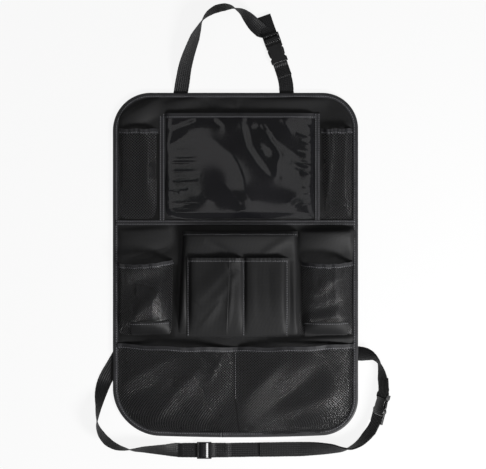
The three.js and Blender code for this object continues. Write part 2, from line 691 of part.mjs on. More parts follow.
// The first stations of a strap, up to a length along it
function upTo(stations, length) {
  const kept = [stations[0]];
  let run = 0;
  for (const station of stations.slice(1)) {
    const last = kept.at(-1);
    const step = station.p.distanceTo(last.p);
    if (run + step >= length) {
      const share = (length - run) / step;
      return [...kept, { p: last.p.clone().lerp(station.p, share), across: station.across }];
    }
    run += step;
    kept.push(station);
  }
  return kept;
}

function seatStrapRight() {
  const frame = buckleFrame(rightCorner, seatBuckle);
  const lap = rightBarStart + sliderBar + loopLap;
  const loop = [
    [lap - 1, lowLayer], [rightBarStart + sliderBar, lowLayer],
    ...halfTurn(rightBarStart + 0.2, lowLayer, overBar, false, true),
    [rightBarStart + sliderBar + 0.5, overBar], [rightBarStart + sliderBar + 3, overBar - 0.6],
    [rightBarStart + sliderBar + 6, highLayer + 0.3], [rightBarStart + sliderBar + 9, highLayer],
    [lap + 1, highLayer], [lap + 8, lowLayer],
  ];
  const route = [[sliderX + lap + 9, sliderY, 0, 2], ...routeFrom(rightCorner, seatRightRoute)];
  const main = along(route, lowLayer);
  // the tail lies back along the strap on its upper face
  const tail = upTo(along(route, highLayer).reverse(), seatTailLength);
  ribbon("seat_strap_right", [
    ...threaded(sliderFrame, loop), ...main, ...threaded(frame, ladderPath(-1)), ...tail,
  ]);
}

function seatStrapStub() {
  const route = routeFrom(rightCorner, seatStubRoute);
  // the lap follows the strap on its upper face
  const lap = upTo(along(route, highLayer), loopLap - 10).reverse();
  const stub = threaded(buckleFrame(rightCorner, seatBuckle), housingPath().slice(1));
  ribbon("seat_strap_stub", [...lap, ...stub, ...sewnEnd(along(route, lowLayer), false)]);
}

// Closed meshes as solids, for cutting and joining
function solidOf(geometry) {
  const bare = geometry.clone();
  bare.deleteAttribute("normal");
  bare.deleteAttribute("uv");
  const merged = mergeVertices(bare, 1e-4);
  return new wasm.Manifold(new wasm.Mesh({
    numProp: 3,
    vertProperties: merged.attributes.position.array,
    triVerts: new Uint32Array(merged.index.array),
  }));
}
function geometryOf(solid) {
  const { vertProperties, triVerts } = solid.getMesh();
  const geometry = new THREE.BufferGeometry();
  geometry.setAttribute("position", new THREE.BufferAttribute(vertProperties, 3));
  geometry.setIndex(new THREE.BufferAttribute(triVerts, 1));
  return geometry;
}
const block = (x0, x1, y0, y1, z0, z1) => solidOf(
  new THREE.BoxGeometry(x1 - x0, y1 - y0, z1 - z0).translate((x0 + x1) / 2, (y0 + y1) / 2, (z0 + z1) / 2));
// A flat moulding of an outline, its edges bevelled
function moulding(shape, z0, z1, bevel) {
  return solidOf(new THREE.ExtrudeGeometry(shape, {
    depth: z1 - z0 - 2 * bevel, bevelThickness: bevel, bevelSize: bevel, bevelOffset: -bevel,
    bevelSegments: 1, curveSegments: 4,
  }).translate(0, 0, z0 + bevel));
}
const join = (parts) => parts.reduce((whole, part) => whole.add(part));

// Male half: a ladder for the webbing, a shoulder, two sprung arms and a guide
const cavityFloor = buckleWall;
const cavityRoof = buckleThickness - buckleWall;
const waist = buckleWidth / 2 - 3.3; // half width of the housing between its side windows
const windowStart = bodyStart + 6;
const windowEnd = buckleEnd - 9.5;

function buckleClip() {
  const half = buckleWidth / 2;
  const inner = webbingWidth / 2 + clearance;
  const low = barBottom;
  const high = cavityRoof - clearance;
  const parts = [
    block(-half, -inner, 0, buckleLadder, low, high),
    block(inner, half, 0, buckleLadder, low, high),
    block(-half, half, 0, barWidth, endBarBottom, high),
    block(-half, half, midBarStart, midBarEnd, low, barTop),
    block(-half, half, midBarEnd + slotLength, buckleLadder, low, high),
  ];
  const armLow = cavityFloor + clearance;
  const guide = new THREE.Shape([
    new THREE.Vector2(-2, buckleLadder - 1), new THREE.Vector2(2, buckleLadder - 1),
    new THREE.Vector2(1.6, windowEnd - 5), new THREE.Vector2(-1.6, windowEnd - 5),
  ]);
  parts.push(moulding(guide, armLow, high, 0.4));
  for (const side of [-1, 1]) {
    const rim = (x, y) => new THREE.Vector2(side * x, y);
    const edge = [
      rim(half - 6.5, buckleLadder - 1), rim(half - 3.9, buckleLadder - 1), rim(half - 3.4, windowStart),
      rim(half - 0.6, windowStart + 1.2), rim(half, windowStart + 4), rim(half - 0.8, windowEnd - 4),
      rim(half - 3, windowEnd - 1.2), rim(half - 4.6, windowEnd - 3), rim(half - 3.4, windowStart + 4),
      rim(half - 5.8, windowStart + 1),
    ];
    parts.push(moulding(new THREE.Shape(side > 0 ? edge : edge.reverse()), armLow, high, 0.4));
  }
  return geometryOf(join(parts));
}

// Female half: a waisted shell open at its mouth, with a bar for the webbing
function buckleHousing() {
  const half = buckleWidth / 2;
  const outline = new THREE.Shape();
  outline.moveTo(-half + 0.5, bodyStart);
  outline.lineTo(half - 0.5, bodyStart);
  outline.lineTo(half, windowStart - 2);
  outline.quadraticCurveTo(waist + 1, windowStart + 0.5, waist, windowStart + 5);
  outline.lineTo(waist, windowEnd - 4);
  outline.quadraticCurveTo(waist + 1, windowEnd, half, windowEnd + 1.5);
  outline.lineTo(half, buckleEnd - 1);
  outline.lineTo(-half, buckleEnd - 1);
  outline.lineTo(-half, windowEnd + 1.5);
  outline.quadraticCurveTo(-waist - 1, windowEnd, -waist, windowEnd - 4);
  outline.lineTo(-waist, windowStart + 5);
  outline.quadraticCurveTo(-waist - 1, windowStart + 0.5, -half, windowStart - 2);
  outline.closePath();
  const shell = moulding(outline, 0, buckleThickness, 0.8);
  const inner = webbingWidth / 2 + clearance;
  const slotStart = tailBar - slotLength + 0.4;
  const lipBottom = overBar + webbingThickness / 2 + clearance;
  const cuts = [
    block(-inner, inner, bodyStart - 1, windowEnd, cavityFloor, cavityRoof),
    block(-inner, inner, slotStart, tailBar, -1, lipBottom),
    block(-inner, inner, tailBar - 1, buckleEnd + 1, -1, barBottom),
    block(-inner, inner, tailBar - 1, buckleEnd + 1, barTop, lipBottom),
    block(-inner, inner, tailBar + barWidth, buckleEnd + 1, -1, lipBottom),
  ];
  return geometryOf(cuts.reduce((whole, cut) => whole.subtract(cut), shell));
}

function buckle(name, { matrix }) {
  const group = new THREE.Group();
  group.applyMatrix4(matrix);
  addPiece(name + "_buckle_clip", plasticFinish, buckleClip(), group);
  addPiece(name + "_buckle_housing", plasticFinish, buckleHousing(), group);
  organizer.add(group);
}

// Three bars between two rails: the left bar is high, the others low
function strapSlider() {
  const half = buckleWidth / 2;
  const inner = webbingWidth / 2 + clearance;
  const railTop = endBarBottom + barThickness;
  const parts = [
    block(-half, -inner, -sliderOuter, rightBarStart + sliderBar, barBottom, railTop),
    block(inner, half, -sliderOuter, rightBarStart + sliderBar, barBottom, railTop),
    block(-half, half, -sliderOuter, -sliderOuter + sliderBar, endBarBottom, railTop),
    block(-half, half, -sliderHalf, sliderHalf, barBottom, barTop),
    block(-half, half, rightBarStart, rightBarStart + sliderBar, barBottom, barTop),
  ];
  const group = new THREE.Group();
  group.applyMatrix4(sliderFrame.matrix);
  addPiece("strap_slider", plasticFinish, geometryOf(join(parts)), group);
  organizer.add(group);
}

backPanel();
edgeBinding();
tabletPocket();
upperMeshPockets();
documentPocket();
frontPocket();
const bottleGap = clearance * 2;
bottlePocket("left", fixed(rowLeft), fixed(documentLeft(middleBottom) - bottleGap), bottleMouthTilt);
bottlePocket("right", (y) => documentRight(y) + bottleGap, fixed(rowRight), 1);
bottomPocket();
headrestStrap();
seatStrapLeft();
seatStrapRight();
seatStrapStub();
buckle("headrest", buckleFrame(topEdge, headrestBuckle));
buckle("seat", buckleFrame(rightCorner, seatBuckle));
strapSlider();

export default organizer;
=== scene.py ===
import math

import bpy
import numpy as np
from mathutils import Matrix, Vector


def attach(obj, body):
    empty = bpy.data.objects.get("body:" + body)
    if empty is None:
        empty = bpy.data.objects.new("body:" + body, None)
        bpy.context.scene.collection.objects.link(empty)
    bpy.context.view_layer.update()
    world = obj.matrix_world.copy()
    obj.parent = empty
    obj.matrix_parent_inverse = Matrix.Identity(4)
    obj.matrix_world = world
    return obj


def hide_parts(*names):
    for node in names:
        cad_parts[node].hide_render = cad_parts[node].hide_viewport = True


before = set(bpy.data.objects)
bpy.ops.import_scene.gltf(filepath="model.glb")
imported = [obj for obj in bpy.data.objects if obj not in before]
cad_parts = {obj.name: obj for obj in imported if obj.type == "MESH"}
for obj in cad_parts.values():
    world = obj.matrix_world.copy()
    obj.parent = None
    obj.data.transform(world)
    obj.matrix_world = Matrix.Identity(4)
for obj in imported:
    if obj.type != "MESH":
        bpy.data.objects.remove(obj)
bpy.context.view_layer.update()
rng = np.random.default_rng(11)
mm = 0.001

# sizes in millimetres that several pieces share, the same as the solids have
halfWidth, halfHeight, bottomBow = 205.0, 288.0, 6.0
radii = {"topLeft": 63.0, "topRight": 60.0, "bottomLeft": 78.0, "bottomRight": 60.0}
face = 1.2  # the panel's front
tapeWidth, tapeThickness = 8.5, 0.9
clothThickness, elasticThickness = 0.8, 0.5
clearance = 0.3
floorLevel = -2.1
sewnEdge = 5.0  # from the panel's edge to the pockets' sewn sides
tabletLeft, tabletRight, tabletTop = -127.0, 141.0, halfHeight - 34.5
upperMouth = halfHeight - 60
seamTop = halfHeight - 213
seamBottom = seamTop - tapeWidth
documentTop = halfHeight - 233
bottleMouth = halfHeight - 281
middleBottom = halfHeight - 410
bottomMouth = middleBottom - 11
photo = {"scale": 1.673, "middleX": 235.5, "middleY": 265.0}  # mm for each pixel; the panel's middle


# a place in the photo, on the panel, in mm
def spot(px, py):
    return (px - photo["middleX"]) * photo["scale"], (photo["middleY"] - py) * photo["scale"]


def limit(value, low=0.0, high=1.0):
    return np.clip(value, low, high)


def mix(a, b, t):
    return a + (b - a) * t


def easeOut(t):
    return np.sin(np.pi / 2 * limit(t))


def smooth(t):
    t = limit(t)
    return t * t * (3 - 2 * t)


def crown(s, sharpness):
    return 1 - np.abs(2 * limit(s) - 1) ** sharpness


def unit(v):
    return v / np.maximum(np.linalg.norm(v, axis=-1, keepdims=True), 1e-9)


# a sum of sine waves, each with its size, rate and phase
def waves(at, table):
    return sum(size * np.sin(at * rate + phase) for size, rate, phase in table)


# lengths along a path, and what a row of values has at stops along it
def runs(path):
    return np.concatenate([[0], np.cumsum(np.linalg.norm(np.diff(path, axis=0), axis=1))])


def follow(stops, along, values):
    return np.stack([np.interp(stops, along, column) for column in values.T], 1)


def sideAt(y, inset, low, high):
    radius = np.where(y < 0, low, high)
    rise = np.abs(y) - (halfHeight - radius)
    arc = halfWidth - radius + np.sqrt(np.maximum(0, (radius - inset) ** 2 - rise ** 2))
    return np.where(rise <= 0, halfWidth - inset, arc)


def leftAt(y, inset=sewnEdge):
    return -sideAt(y, inset, radii["bottomLeft"], radii["topLeft"])


def rightAt(y, inset=sewnEdge):
    return sideAt(y, inset, radii["bottomRight"], radii["topRight"])


def bowed(x, y):
    return y + bottomBow * (x / halfWidth) ** 2 * limit(-y / halfHeight)


# soft ridges, or hollows where the height is negative, along straight creases read in the photo:
# from x, y to x, y in pixels, the width (or one on the right and one on the left) and the height in mm
def creases(x, y, lines):
    z = np.zeros(np.broadcast(x, y).shape)
    for startX, startY, endX, endY, width, height in lines:
        (ax, ay), (bx, by) = spot(startX, startY), spot(endX, endY)
        dx, dy = bx - ax, by - ay
        length = math.hypot(dx, dy)
        t = ((x - ax) * dx + (y - ay) * dy) / length ** 2
        off = ((x - ax) * dy - (y - ay) * dx) / length
        wide = np.where(off > 0, *width) if isinstance(width, tuple) else width
        fade = np.sin(np.pi * limit(t)) ** 0.6
        z = z + height * np.exp(-(off / wide) ** 2) * fade
    return z


# slow swells of cloth, the same each run: rate, direction and phase of each wave
swellWaves = [(rng.uniform(0.02, 0.11), rng.uniform(0, math.tau), rng.uniform(0, math.tau))
              for _ in range(14)]


def swells(x, y):
    z = 0.0
    for i, (rate, turn, phase) in enumerate(swellWaves):
        z = z + np.sin(rate * (x * math.cos(turn) + y * math.sin(turn)) + phase) / (1 + 0.15 * i)
    return z / 5


def linear(hexText):
    values = [int(hexText[i:i + 2], 16) / 255 for i in (1, 3, 5)]
    return [v / 12.92 if v <= 0.04045 else ((v + 0.055) / 1.055) ** 2.4 for v in values] + [1.0]


def addNode(tree, kind, settings=None, links=None):
    node = tree.nodes.new(kind)
    for key, value in (settings or {}).items():
        if isinstance(key, str) and key in node.bl_rna.properties:
            setattr(node, key, value)
        else:
            node.inputs[key].default_value = value
    for key, source in (links or {}).items():
        tree.links.new(source, node.inputs[key])
    return node


def darkened(tree, colour, share):
    scale = addNode(tree, "ShaderNodeVectorMath", {"operation": "SCALE"}, {0: colour, "Scale": share})
    return scale.outputs[0]


# the bump's height for a weave with two thread pitches in metres, and its colour, darker in the grooves:
# painted shade between the threads
def weave(tree, look, place, colour):
    perWave = 0.314  # how far one wave of the texture reaches at scale 1
    warp, weft = (addNode(tree, "ShaderNodeTexWave", {"bands_direction": way, "Scale": perWave / pitch,
                                                      "Distortion": 0.4, "Detail": 1.0}, {"Vector": place})
                  for way, pitch in zip("XY", look["weave"]))
    height = addNode(tree, "ShaderNodeMath", {"operation": look.get("join", "MULTIPLY")},
                     {0: warp.outputs["Fac"], 1: weft.outputs["Fac"]}).outputs[0]
    shade = addNode(tree, "ShaderNodeMapRange", {"To Min": 1 - look.get("groove", 0.25), "To Max": 1.0},
                    {"Value": height})
    return height, darkened(tree, colour, shade.outputs[0])


# a material with uneven colour and roughness and a bump of its own
def finishMaterial(name, look):
    material = bpy.data.materials.new(name)
    material.use_nodes = True
    tree = material.node_tree
    tree.nodes.clear()
    output = addNode(tree, "ShaderNodeOutputMaterial")
    coords = addNode(tree, "ShaderNodeTexCoord")
    blotch = addNode(tree, "ShaderNodeTexNoise",
                     {"Scale": look.get("blotch", 25.0), "Detail": 3.0, "Roughness": 0.6},
                     {"Vector": coords.outputs["Object"]})
    tone = addNode(tree, "ShaderNodeMix",
                   {"data_type": "RGBA", 6: linear(look["dark"]), 7: linear(look["light"])},
                   {0: blotch.outputs["Fac"]})
    smoothest, roughest = look["rough"]
    rough = addNode(tree, "ShaderNodeMapRange",
                    {"From Min": 0.3, "From Max": 0.7, "To Min": smoothest, "To Max": roughest},
                    {"Value": blotch.outputs["Fac"]})
    colour = tone.outputs[2]
    if look.get("weave"):
        height, colour = weave(tree, look, coords.outputs["UV"], colour)
    else:
        height = addNode(tree, "ShaderNodeTexNoise", {"Scale": look.get("grain", 1800.0), "Detail": 2.0},
                         {"Vector": coords.outputs["Object"]}).outputs["Fac"]
    # painted shade: the cloth's colour is darkened where a net lies over it, for the shadow the net casts
    if look.get("paintedShadeShare"):  # darker where a net lies over the cloth
        share = addNode(tree, "ShaderNodeAttribute", {"attribute_name": "paintedNetShadeMask"})
        kept = addNode(tree, "ShaderNodeMath", {"operation": "MULTIPLY_ADD", 1: -look["paintedShadeShare"], 2: 1.0},
                       {0: share.outputs["Fac"]})
        colour = darkened(tree, colour, kept.outputs[0])
    bump = addNode(tree, "ShaderNodeBump",
                   {"Strength": look.get("bump", 0.4), "Distance": look.get("relief", 0.0003)},
                   {"Height": height})
    if look.get("edge"):
        rounded = addNode(tree, "ShaderNodeBevel", {"samples": 6, "Radius": look["edge"]})
        tree.links.new(rounded.outputs[0], bump.inputs["Normal"])
    shader = addNode(tree, "ShaderNodeBsdfPrincipled",
                     {"IOR": look.get("ior", 1.5), "Specular IOR Level": look["specular"],
                      "Alpha": look.get("alpha", 1.0)},
                     {"Base Color": colour, "Roughness": rough.outputs[0], "Normal": bump.outputs[0]})
    tree.links.new(shader.outputs[0], output.inputs["Surface"])
    return material


# 600 denier polyester, plain weave; threads drawn four times as wide as the real 0.55 mm, to show
# its colour holds painted shade, darker where the nets lie over it
polyester = finishMaterial("polyesterCanvas", {
    "dark": "#171718", "light": "#262627", "rough": (0.5, 0.7), "weave": (0.0022, 0.0022), "specular": 0.25,
    "blotch": 14.0, "groove": 0.45, "paintedShadeShare": 0.75})
# the same cloth folded double at the hems, a little paler: painted highlight for the light the hems catch
hemCloth = finishMaterial("foldedCanvas", {
    "dark": "#1b1b1c", "light": "#2a2a2b", "rough": (0.5, 0.7), "weave": (0.0022, 0.0022), "specular": 0.3,
    "blotch": 60.0, "groove": 0.4})
# grosgrain binding, ribs across the tape
grosgrain = finishMaterial("grosgrainTape", {
    "dark": "#1b1b1d", "light": "#303033", "rough": (0.42, 0.6), "weave": (0.0018, 0.005),
    "join": "MAXIMUM", "specular": 0.35, "blotch": 70.0, "groove": 0.4})
# warp-knitted polyester net
netYarn = finishMaterial("knittedNet", {
    "dark": "#1c1c1d", "light": "#2b2b2d", "rough": (0.26, 0.32), "bump": 0.2, "specular": 0.75,
    "blotch": 9.0, "grain": 2500.0})
# clear soft vinyl, 0.3 mm
vinyl = finishMaterial("clearVinyl", {
    "dark": "#151517", "light": "#1d1d20", "rough": (0.1, 0.15), "bump": 0.02, "relief": 0.0001,
    "grain": 900.0, "specular": 0.5, "ior": 1.65, "alpha": 0.75, "blotch": 9.0})
# braided elastic
elastic = finishMaterial("braidedElastic", {
    "dark": "#0e0e0e", "light": "#161617", "rough": (0.6, 0.8), "weave": (0.0016, 0.0016), "bump": 0.5,
    "specular": 0.25})
# polypropylene webbing, ribbed crosswise
polypropylene = finishMaterial("polypropyleneWebbing", {
    "dark": "#101011", "light": "#1e1e20", "rough": (0.42, 0.6), "weave": (0.0028, 0.0036),
    "join": "MAXIMUM", "bump": 0.6, "relief": 0.0004, "specular": 0.3, "blotch": 45.0, "groove": 0.55})
# moulded acetal, fine satin grain
acetal = finishMaterial("mouldedAcetal", {
    "dark": "#131314", "light": "#1b1b1c", "rough": (0.24, 0.34), "bump": 0.1, "relief": 0.0001,
    "grain": 3000.0, "specular": 0.6, "edge": 0.0009})
# bonded polyester sewing thread, coloured pale grey: painted highlight for the glints of its stitches
thread = finishMaterial("sewingThread", {
    "dark": "#5a5a5e", "light": "#8e8e93", "rough": (0.4, 0.55), "bump": 0.2, "specular": 0.4,
    "grain": 4000.0})
# the same thread, black and without the painted highlight, on the webbing
blackThread = finishMaterial("blackSewingThread", {
    "dark": "#0c0c0d", "light": "#171718", "rough": (0.4, 0.55), "bump": 0.2, "specular": 0.4,
    "grain": 4000.0})


def makePiece(name, points, faces, material, uvs=None, replaces=()):
    points = np.asarray(points, float).reshape(-1, 3) * mm
    blocks = [np.asarray(block) for block in faces if len(block)]
    corners = np.concatenate([block.ravel() for block in blocks])
    counts = np.concatenate([np.full(len(block), block.shape[1]) for block in blocks])
    mesh = bpy.data.meshes.new(name)
    mesh.vertices.add(len(points))
    mesh.vertices.foreach_set("co", points.ravel())
    mesh.loops.add(len(corners))
    mesh.loops.foreach_set("vertex_index", corners.astype(np.int32))
    mesh.polygons.add(len(counts))
    mesh.polygons.foreach_set("loop_start", (np.cumsum(counts) - counts).astype(np.int32))
    mesh.polygons.foreach_set("use_smooth", np.ones(len(counts), bool))
    if uvs is not None:
        layer = mesh.uv_layers.new(name="cloth")
        layer.data.foreach_set("uv", (np.asarray(uvs, float).reshape(-1, 2)[corners] * mm).ravel())
    mesh.update(calc_edges=True)
    mesh.materials.append(material)
    piece = bpy.data.objects.new(name, mesh)
    bpy.context.scene.collection.objects.link(piece)
    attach(piece, "root")
    if replaces:
        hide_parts(*replaces)
    return piece


# quads of a grid whose points are stored row by row
def gridQuads(nu, nv, start=0, flip=False):
    i, j = np.meshgrid(np.arange(nu - 1), np.arange(nv - 1), indexing="ij")
    a = (i * nv + j).ravel() + start
    quads = np.stack([a, a + nv, a + nv + 1, a + 1], 1)
    return quads[:, ::-1] if flip else quads


# faces of a tube: n stations with m points round each, and its two ends
def tubeFaces(n, m):
    i, j = np.meshgrid(np.arange(n - 1), np.arange(m), indexing="ij")
    a, b = (i * m + j).ravel(), (i * m + (j + 1) % m).ravel()
    ends = np.array([np.arange(m)[::-1], np.arange((n - 1) * m, n * m)])
    return np.stack([a, b, b + m, a + m], 1), ends


def gridNormals(points):
    return unit(np.cross(np.gradient(points, axis=0), np.gradient(points, axis=1)))


def clothLengths(points):
    s = np.zeros(points.shape[:2])
    t = np.zeros(points.shape[:2])
    s[1:] = np.cumsum(np.linalg.norm(np.diff(points, axis=0), axis=2), axis=0)
    t[:, 1:] = np.cumsum(np.linalg.norm(np.diff(points, axis=1), axis=2), axis=1)
    return np.stack([s, t], -1)


# closed sheet: points are its outer side, its thickness goes inwards
def clothSheet(name, points, thickness, material, replaces=(), inner=None):
    nu, nv = points.shape[:2]
    if inner is None:
        inner = points - gridNormals(points) * thickness
    count = nu * nv
    index = np.arange(count).reshape(nu, nv)
    rim = np.concatenate([index[:-1, 0], index[-1, :-1], index[:0:-1, -1], index[0, :0:-1]])
    after = np.roll(rim, -1)
    rimQuads = np.stack([rim, rim + count, after + count, after], 1)
    faces = [gridQuads(nu, nv), gridQuads(nu, nv, count, True), rimQuads]
    both = np.concatenate([points.reshape(-1, 3), inner.reshape(-1, 3)])
    uvs = np.concatenate([clothLengths(points).reshape(-1, 2)] * 2)
    return makePiece(name, both, faces, material, uvs, replaces)


# a section swept along a path, with closed ends; the section is in (across, up)
def sweep(name, path, across, up, section, material, slotName, replaces=()):
    section = np.broadcast_to(section, (len(path),) + np.shape(section)[-2:])
    n, m = section.shape[:2]
    points = path[:, None] + across[:, None] * section[..., :1] + up[:, None] * section[..., 1:]
    uvs = np.stack([np.broadcast_to(runs(path)[:, None], (n, m)), section[..., 0]], -1)
    return makePiece(name, points, tubeFaces(n, m), material, uvs, replaces)


# a tape's section: flat with round edges, listed against the clock seen along the path
def tapeSection(width, thickness, ribs=0, relief=0.0, steps=12):
    t = np.linspace(-1, 1, steps + 1)
    a = width / 2 * (t if ribs else np.sin(t * math.pi / 2))
    edge = np.sqrt(np.maximum(0, 1 - (np.abs(a) / (width / 2)) ** 24))
    b = thickness / 2 * (0.35 + 0.65 * edge)
    if ribs:
        b = b + relief * np.cos(a / width * math.tau * ribs) * edge
    return np.concatenate([np.stack([a[::-1], -b[::-1]], 1), np.stack([a, b], 1)])


stitch = {
    "pitch": 3.9, "length": 2.6, "width": 0.85, "rise": 0.4, "sides": 6,
    "stations": [(-0.5, 0.35), (-0.3, 0.9), (0.3, 0.9), (0.5, 0.35)],  # place and girth, as shares
}


# a row of stitches along a path; own holds what differs from the dictionary
def stitchRow(name, path, up, lift=0.0, yarn=thread, **own):
    size = {**stitch, **own}
    along = runs(path)
    centres = np.arange(size["pitch"] / 2, along[-1], size["pitch"])
    at, ahead, behind = (follow(centres + near, along, path) for near in (0, 0.4, -0.4))
    ups = unit(follow(centres, along, up))
    way = unit(ahead - behind)
    axes = np.stack([way, unit(np.cross(ups, way)), ups], 1)
    angles = np.linspace(0, math.tau, size["sides"] + 1)[:-1]
    template = np.array([(size["length"] * x, size["width"] / 2 * girth * math.cos(w),
                          size["rise"] * (girth * math.sin(w) * 0.8 + 0.1))
                         for x, girth in size["stations"] for w in angles])
    lifts = np.interp(centres, along, np.broadcast_to(lift, along.shape))[:, None]
    points = (at + ups * lifts)[:, None] + template @ axes
    offsets = np.arange(len(centres))[:, None, None] * len(template)
    faces = [(block[None] + offsets).reshape(-1, block.shape[1])
             for block in tubeFaces(len(size["stations"]), size["sides"])]
    return makePiece(name, points, faces, yarn)


def formNormals(form, u, v, step):
    return unit(np.cross(form(u + step, v) - form(u - step, v), form(u, v + step) - form(u, v - step)))


# a row of stitches on a surface given by form(u, v)
def stitchForm(name, form, us, vs, lift, **own):
    us, vs = np.broadcast_arrays(np.asarray(us, float), np.asarray(vs, float))
    return stitchRow(name, form(us, vs), formNormals(form, us, vs, 1e-3), lift, **own)


# the real holes are 3.9 mm apart, drawn 4.7 mm apart to show
net = {"pitch": 4.7, "strand": 0.28, "rise": 0.17}


# a knitted net of diamond holes over form(u, v); each strand is a low ridge on both sides
def netPiece(name, form, width, height, replaces):
    nu, nv = int(round(2 * width / net["pitch"])), int(round(2 * height / net["pitch"]))
    i, j = np.meshgrid(np.arange(nu + 1), np.arange(nv + 1), indexing="ij")
    knots = (i + j) % 2 == 0
    index = np.full((nu + 1, nv + 1), -1)
    index[knots] = np.arange(knots.sum())
    holes = ~knots & (i > 0) & (j > 0) & (i < nu) & (j < nv)
    hi, hj = i[holes], j[holes]
    around = np.array([(-1, 0), (0, -1), (1, 0), (0, 1)])
    reach = around * (1 - net["strand"])
    u = np.concatenate([i[knots], (hi[:, None] + reach[:, 0]).ravel()]) / nu
    v = np.concatenate([j[knots], (hj[:, None] + reach[:, 1]).ravel()]) / nv
    middle = form(u, v)
    knotCount = int(knots.sum())
    ridge = formNormals(form, u, v, 2e-4)[:knotCount] * net["rise"]
    points = np.concatenate([middle[:knotCount] + ridge, middle[:knotCount] - ridge, middle[knotCount:]])
    corner = 2 * knotCount + np.arange(len(hi) * 4).reshape(-1, 4)
    nodes = np.stack([index[hi + a, hj + b] for a, b in around], 1)
    quads = []
    for k in range(4):
        n = (k + 1) % 4
        upper, lower, rim = nodes[:, [k, n]], nodes[:, [n, k]] + knotCount, corner[:, [k, n]]
        quads += [np.hstack([upper, rim[:, ::-1]]), np.hstack([rim, lower])]
    quads = np.concatenate(quads)
    used = np.unique(quads)
    renumber = np.full(len(points), -1)
    renumber[used] = np.arange(len(used))
    return makePiece(name, points[used], [renumber[quads]], netYarn, replaces=replaces)


# a tape along a surface's rows: us from end to end, vs over its width; look is its material and a slot name,
# which is not used
def formTape(name, form, us, vs, lift, thickness, look, replaces=(), count=160, ripple=()):
    us = np.linspace(*us, count)
    low, high = (form(us, np.full(count, v)) for v in vs)
    path = form(us, np.full(count, sum(vs) / 2))
    across = unit(high - low)
    up = unit(np.cross(np.gradient(path, axis=0), high - low))
    path = path + up * np.reshape(waves(us, ripple), (-1, 1))
    path = path + up * (lift + thickness / 2)
    up = np.cross(unit(np.gradient(path, axis=0)), across)
    section = tapeSection(float(np.linalg.norm(high - low, axis=1).mean()), thickness)
    return sweep(name, path, across, up, section, *look, replaces)


bindingLook = (grosgrain, "binding_tape")
elasticLook = (elastic, "elastic")
hemLook = (hemCloth, "fabric")


# a gathered mouth: hem tape, the elastic inside it and its stitches; band is the hem's share of v
def gatherMouth(name, form, node, hem, ends, stitched, band):
    steps, ripple = hem["steps"], hem["ripple"]
    tape = formTape(name + "Hem", form, ends, (1 - band, 1.0), hem["lift"], tapeThickness, bindingLook,
                    [node + "_hem"], steps, ripple)
    inside = formTape(name + "Elastic", form, ends, (1 - band * 0.8, 1 - band * 0.2), hem["elasticLift"],
                      elasticThickness, elasticLook, [node + "_elastic"], steps, ripple)
    us = np.linspace(*stitched, hem["stitchSteps"])
    row = stitchForm(name + "HemStitches", form, us, 1 - band * hem["row"],
                     hem["lift"] + 1.15 + waves(us, ripple))
    return tape, inside, row


panel = {
    "rim": 1.5, "columns": 131, "cornerRows": 22, "middleRows": 150, "swell": 0.9, "lift": 0.9, "fade": 14,
    "shadeFrom": {"upper": 4, "bottle": 7, "bottom": 8},  # how far under a net's mouth its painted shade starts
    "puffs": [  # bare cloth between the pockets
        (110, 233, 172, 229, (26, 5), 5.0), (122, 262, 176, 246, 9, -3.5),
        (297, 233, 364, 231, (28, 5), 14.0), (299, 254, 350, 252, (7, 7), -1.5),
        (112, 341.5, 160, 341.5, (4, 5), 2.4), (182, 343, 230, 342, 5, 0.8),
        (268, 340, 364, 339, (7, 3), 4.6), (116, 122, 162, 98, (22, 7), 8.0),
        (132, 131, 162, 116, 6, -1.6), (236, 94, 238, 113, 2.4, 1.4), (336, 92, 358, 112, (5, 12), 4.0),
        (162, 106, 200, 97, (14, 6), 3.4), (222, 98, 236, 108, 6, 1.6), (244, 100, 330, 99, (12, 5), 3.0),
        (322, 128, 352, 124, (6, 5), 2.6), (205, 96, 219, 112, 7, -2.4),
    ],
}


def panelTop(x, y):
    return face + creases(x, y, panel["puffs"]) + panel["swell"] * swells(x, y) + panel["lift"]


# rows close together round the corners and even between them
def panelRows():
    rim, steps = panel["rim"], panel["cornerRows"]
    turn = 1 - np.cos(np.linspace(0, math.pi / 2, steps + 1))
    low = -halfHeight + rim + (radii["bottomLeft"] - rim) * turn
    high = (halfHeight - rim - (radii["topLeft"] - rim) * turn)[::-1]
    return np.concatenate([low[:-1], np.linspace(low[-1], high[0], panel["middleRows"] + 1), high[1:]])


# painted shade: the real knit, finer than the one drawn, keeps more light off the cloth behind it, so the
# cloth's colour is darkened there
def underNetsPaintedShade(x, y):
    under = panel["shadeFrom"]
    upper = (y > seamTop) & (y < upperMouth - under["upper"]) & ((x < tabletLeft) | (x > tabletRight))
    sides = (x < documentLeft(y)) | (x > documentRight(y))
    bottles = (y > middleBottom) & (y < bottleMouth - under["bottle"]) & sides
    return upper | bottles | (y < bottomMouth - under["bottom"])


def buildPanel():
    u, y = np.meshgrid(np.linspace(0, 1, panel["columns"]), panelRows(), indexing="ij")
    x = mix(leftAt(y, panel["rim"]), rightAt(y, panel["rim"]), u)
    fromSide = np.minimum(u, 1 - u) * 400  # mm, about
    edge = smooth(np.minimum(fromSide, np.minimum(y + halfHeight, halfHeight - y)) / panel["fade"])
    points = np.stack([x, bowed(x, y), mix(face, panelTop(x, y), edge)], -1)
    piece = clothSheet("panelCloth", points, face, polyester, ["back_panel"], points * [1, 1, 0])
    # painted shade: which points of the cloth lie under a net, for darkening its colour
    shade = piece.data.attributes.new("paintedNetShadeMask", "FLOAT", "POINT")
    shade.data.foreach_set("value", np.tile(underNetsPaintedShade(x, y).ravel(), 2).astype(np.float32))


binding = {
    "meet": -22.6, "spacing": 3.0, "rise": 1.85, "lap": 9.0, "lapRise": 0.9, "row": 5.8,
    "pucker": [(0.14, math.tau / 6.6, 0), (0.16, 1 / 17, 0), (0.1, 1 / 7.3, 1)],
    "waver": [(0.3, 1 / 23, 2), (0.18, 1 / 9, 0)],
    "stitches": {"pitch": 4.0, "length": 2.9, "width": 0.9},
}


